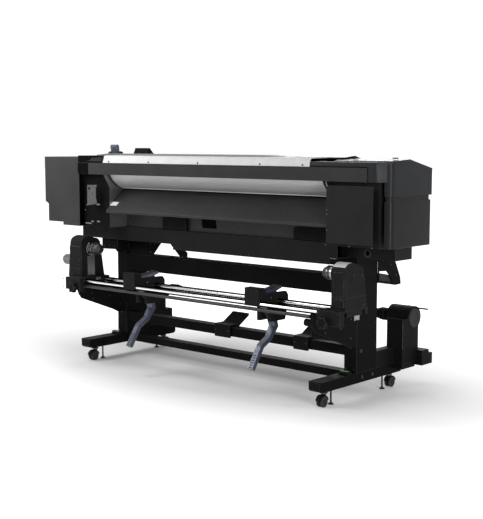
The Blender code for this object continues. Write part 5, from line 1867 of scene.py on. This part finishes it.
def build_floor():
    bm = bmesh.new()
    bmesh.ops.create_grid(bm, x_segments=8, y_segments=8, size=40.0)
    mesh = bpy.data.meshes.new("studio_floor")
    bm.to_mesh(mesh)
    bm.free()
    mesh.materials.append(floor_material())
    floor = bpy.data.objects.new("studio_floor", mesh)
    bpy.context.scene.collection.objects.link(floor)


def add_lamp(name, place, aim, width, height, power):
    lamp = bpy.data.lights.new(name, "AREA")
    lamp.shape = "RECTANGLE"
    lamp.size = width
    lamp.size_y = height
    lamp.energy = power
    made = bpy.data.objects.new(name, lamp)
    made.location = place
    made.rotation_euler = (Vector(aim) - Vector(place)).to_track_quat("-Z", "Y").to_euler()
    made.visible_camera = False
    bpy.context.scene.collection.objects.link(made)


def build_camera():
    settings = stage_settings()
    turn, tilt = settings.turn, settings.tilt
    forward = Vector((-math.sin(turn) * math.cos(tilt), math.cos(turn) * math.cos(tilt), -math.sin(tilt)))
    camera = bpy.data.cameras.new("camera")
    camera.lens = settings.lens
    camera.sensor_width = 36.0
    camera.sensor_fit = "AUTO"
    camera.clip_end = 60.0
    camera.dof.use_dof = False
    made = bpy.data.objects.new("camera", camera)
    made.location = settings.eye
    made.rotation_euler = forward.to_track_quat("-Z", "Y").to_euler()
    bpy.context.scene.collection.objects.link(made)
    bpy.context.scene.camera = made


class PRINTER_OT_stage(bpy.types.Operator):
    """Build the white floor and surroundings, the lamps and the camera"""

    bl_idname = "printer.stage"
    bl_label = "Stage"

    def execute(self, context):
        build_world()
        build_floor()
        add_lamp("overhead", (0.0, -0.2, 3.6), (0.0, 0.0, 0.6), 3.2, 1.6, 22.0)
        add_lamp("key", (-1.60, -3.00, 2.40), (-0.30, 0.0, 0.90), 1.8, 1.2, 48.0)
        add_lamp("left_strip", (-1.32, -0.95, 1.95), (-1.25, -0.30, 1.15), 0.7, 0.5, 12.0)
        add_lamp("right_edge", (4.60, -2.20, 1.10), (0.60, -0.20, 0.90), 0.8, 1.6, 76.0)
        add_lamp("front_fill", (-1.20, 3.60, 2.10), (0.0, 0.20, 0.90), 2.4, 1.2, 34.0)
        build_camera()
        context.scene.view_settings.view_transform = "Standard"
        return {"FINISHED"}


# ---- Panel --------------------------------------------------------------------------------
OPERATORS = (
    PRINTER_OT_stand,
    PRINTER_OT_casters,
    PRINTER_OT_levelers,
    PRINTER_OT_feed_rails,
    PRINTER_OT_holders,
    PRINTER_OT_supports,
    PRINTER_OT_body,
    PRINTER_OT_feed_slot,
    PRINTER_OT_covers,
    PRINTER_OT_controls,
    PRINTER_OT_print_drive,
    PRINTER_OT_take_up,
    PRINTER_OT_stage,
)


class PRINTER_PT_panel(bpy.types.Panel):
    """Every step of the roll printer, in order"""

    bl_label = "Roll Printer"
    bl_idname = "PRINTER_PT_panel"
    bl_space_type = "VIEW_3D"
    bl_region_type = "UI"
    bl_category = "Roll Printer"

    def draw(self, context):
        for operator in OPERATORS:
            self.layout.operator(operator.bl_idname)
        for title, group in (("Finishes", finishes()), ("Sizes", sizes()), ("Stage", stage_settings())):
            box = self.layout.box()
            box.label(text=title)
            for name in group.bl_rna.properties.keys():
                if name not in ("rna_type", "name"):
                    box.prop(group, name)


SETTINGS = (PrinterFinishes, PrinterSizes, PrinterStage)


def register():
    for kind in (*SETTINGS, *OPERATORS, PRINTER_PT_panel):
        bpy.utils.register_class(kind)
    bpy.types.Scene.printer_finishes = PointerProperty(type=PrinterFinishes)
    bpy.types.Scene.printer_sizes = PointerProperty(type=PrinterSizes)
    bpy.types.Scene.printer_stage = PointerProperty(type=PrinterStage)


def unregister():
    del bpy.types.Scene.printer_stage
    del bpy.types.Scene.printer_sizes
    del bpy.types.Scene.printer_finishes
    for kind in (PRINTER_PT_panel, *OPERATORS[::-1], *SETTINGS[::-1]):
        bpy.utils.unregister_class(kind)


def main():
    register()
    for operator in OPERATORS:
        group, name = operator.bl_idname.split(".")
        getattr(getattr(bpy.ops, group), name)()


if __name__ == "__main__":
    main()
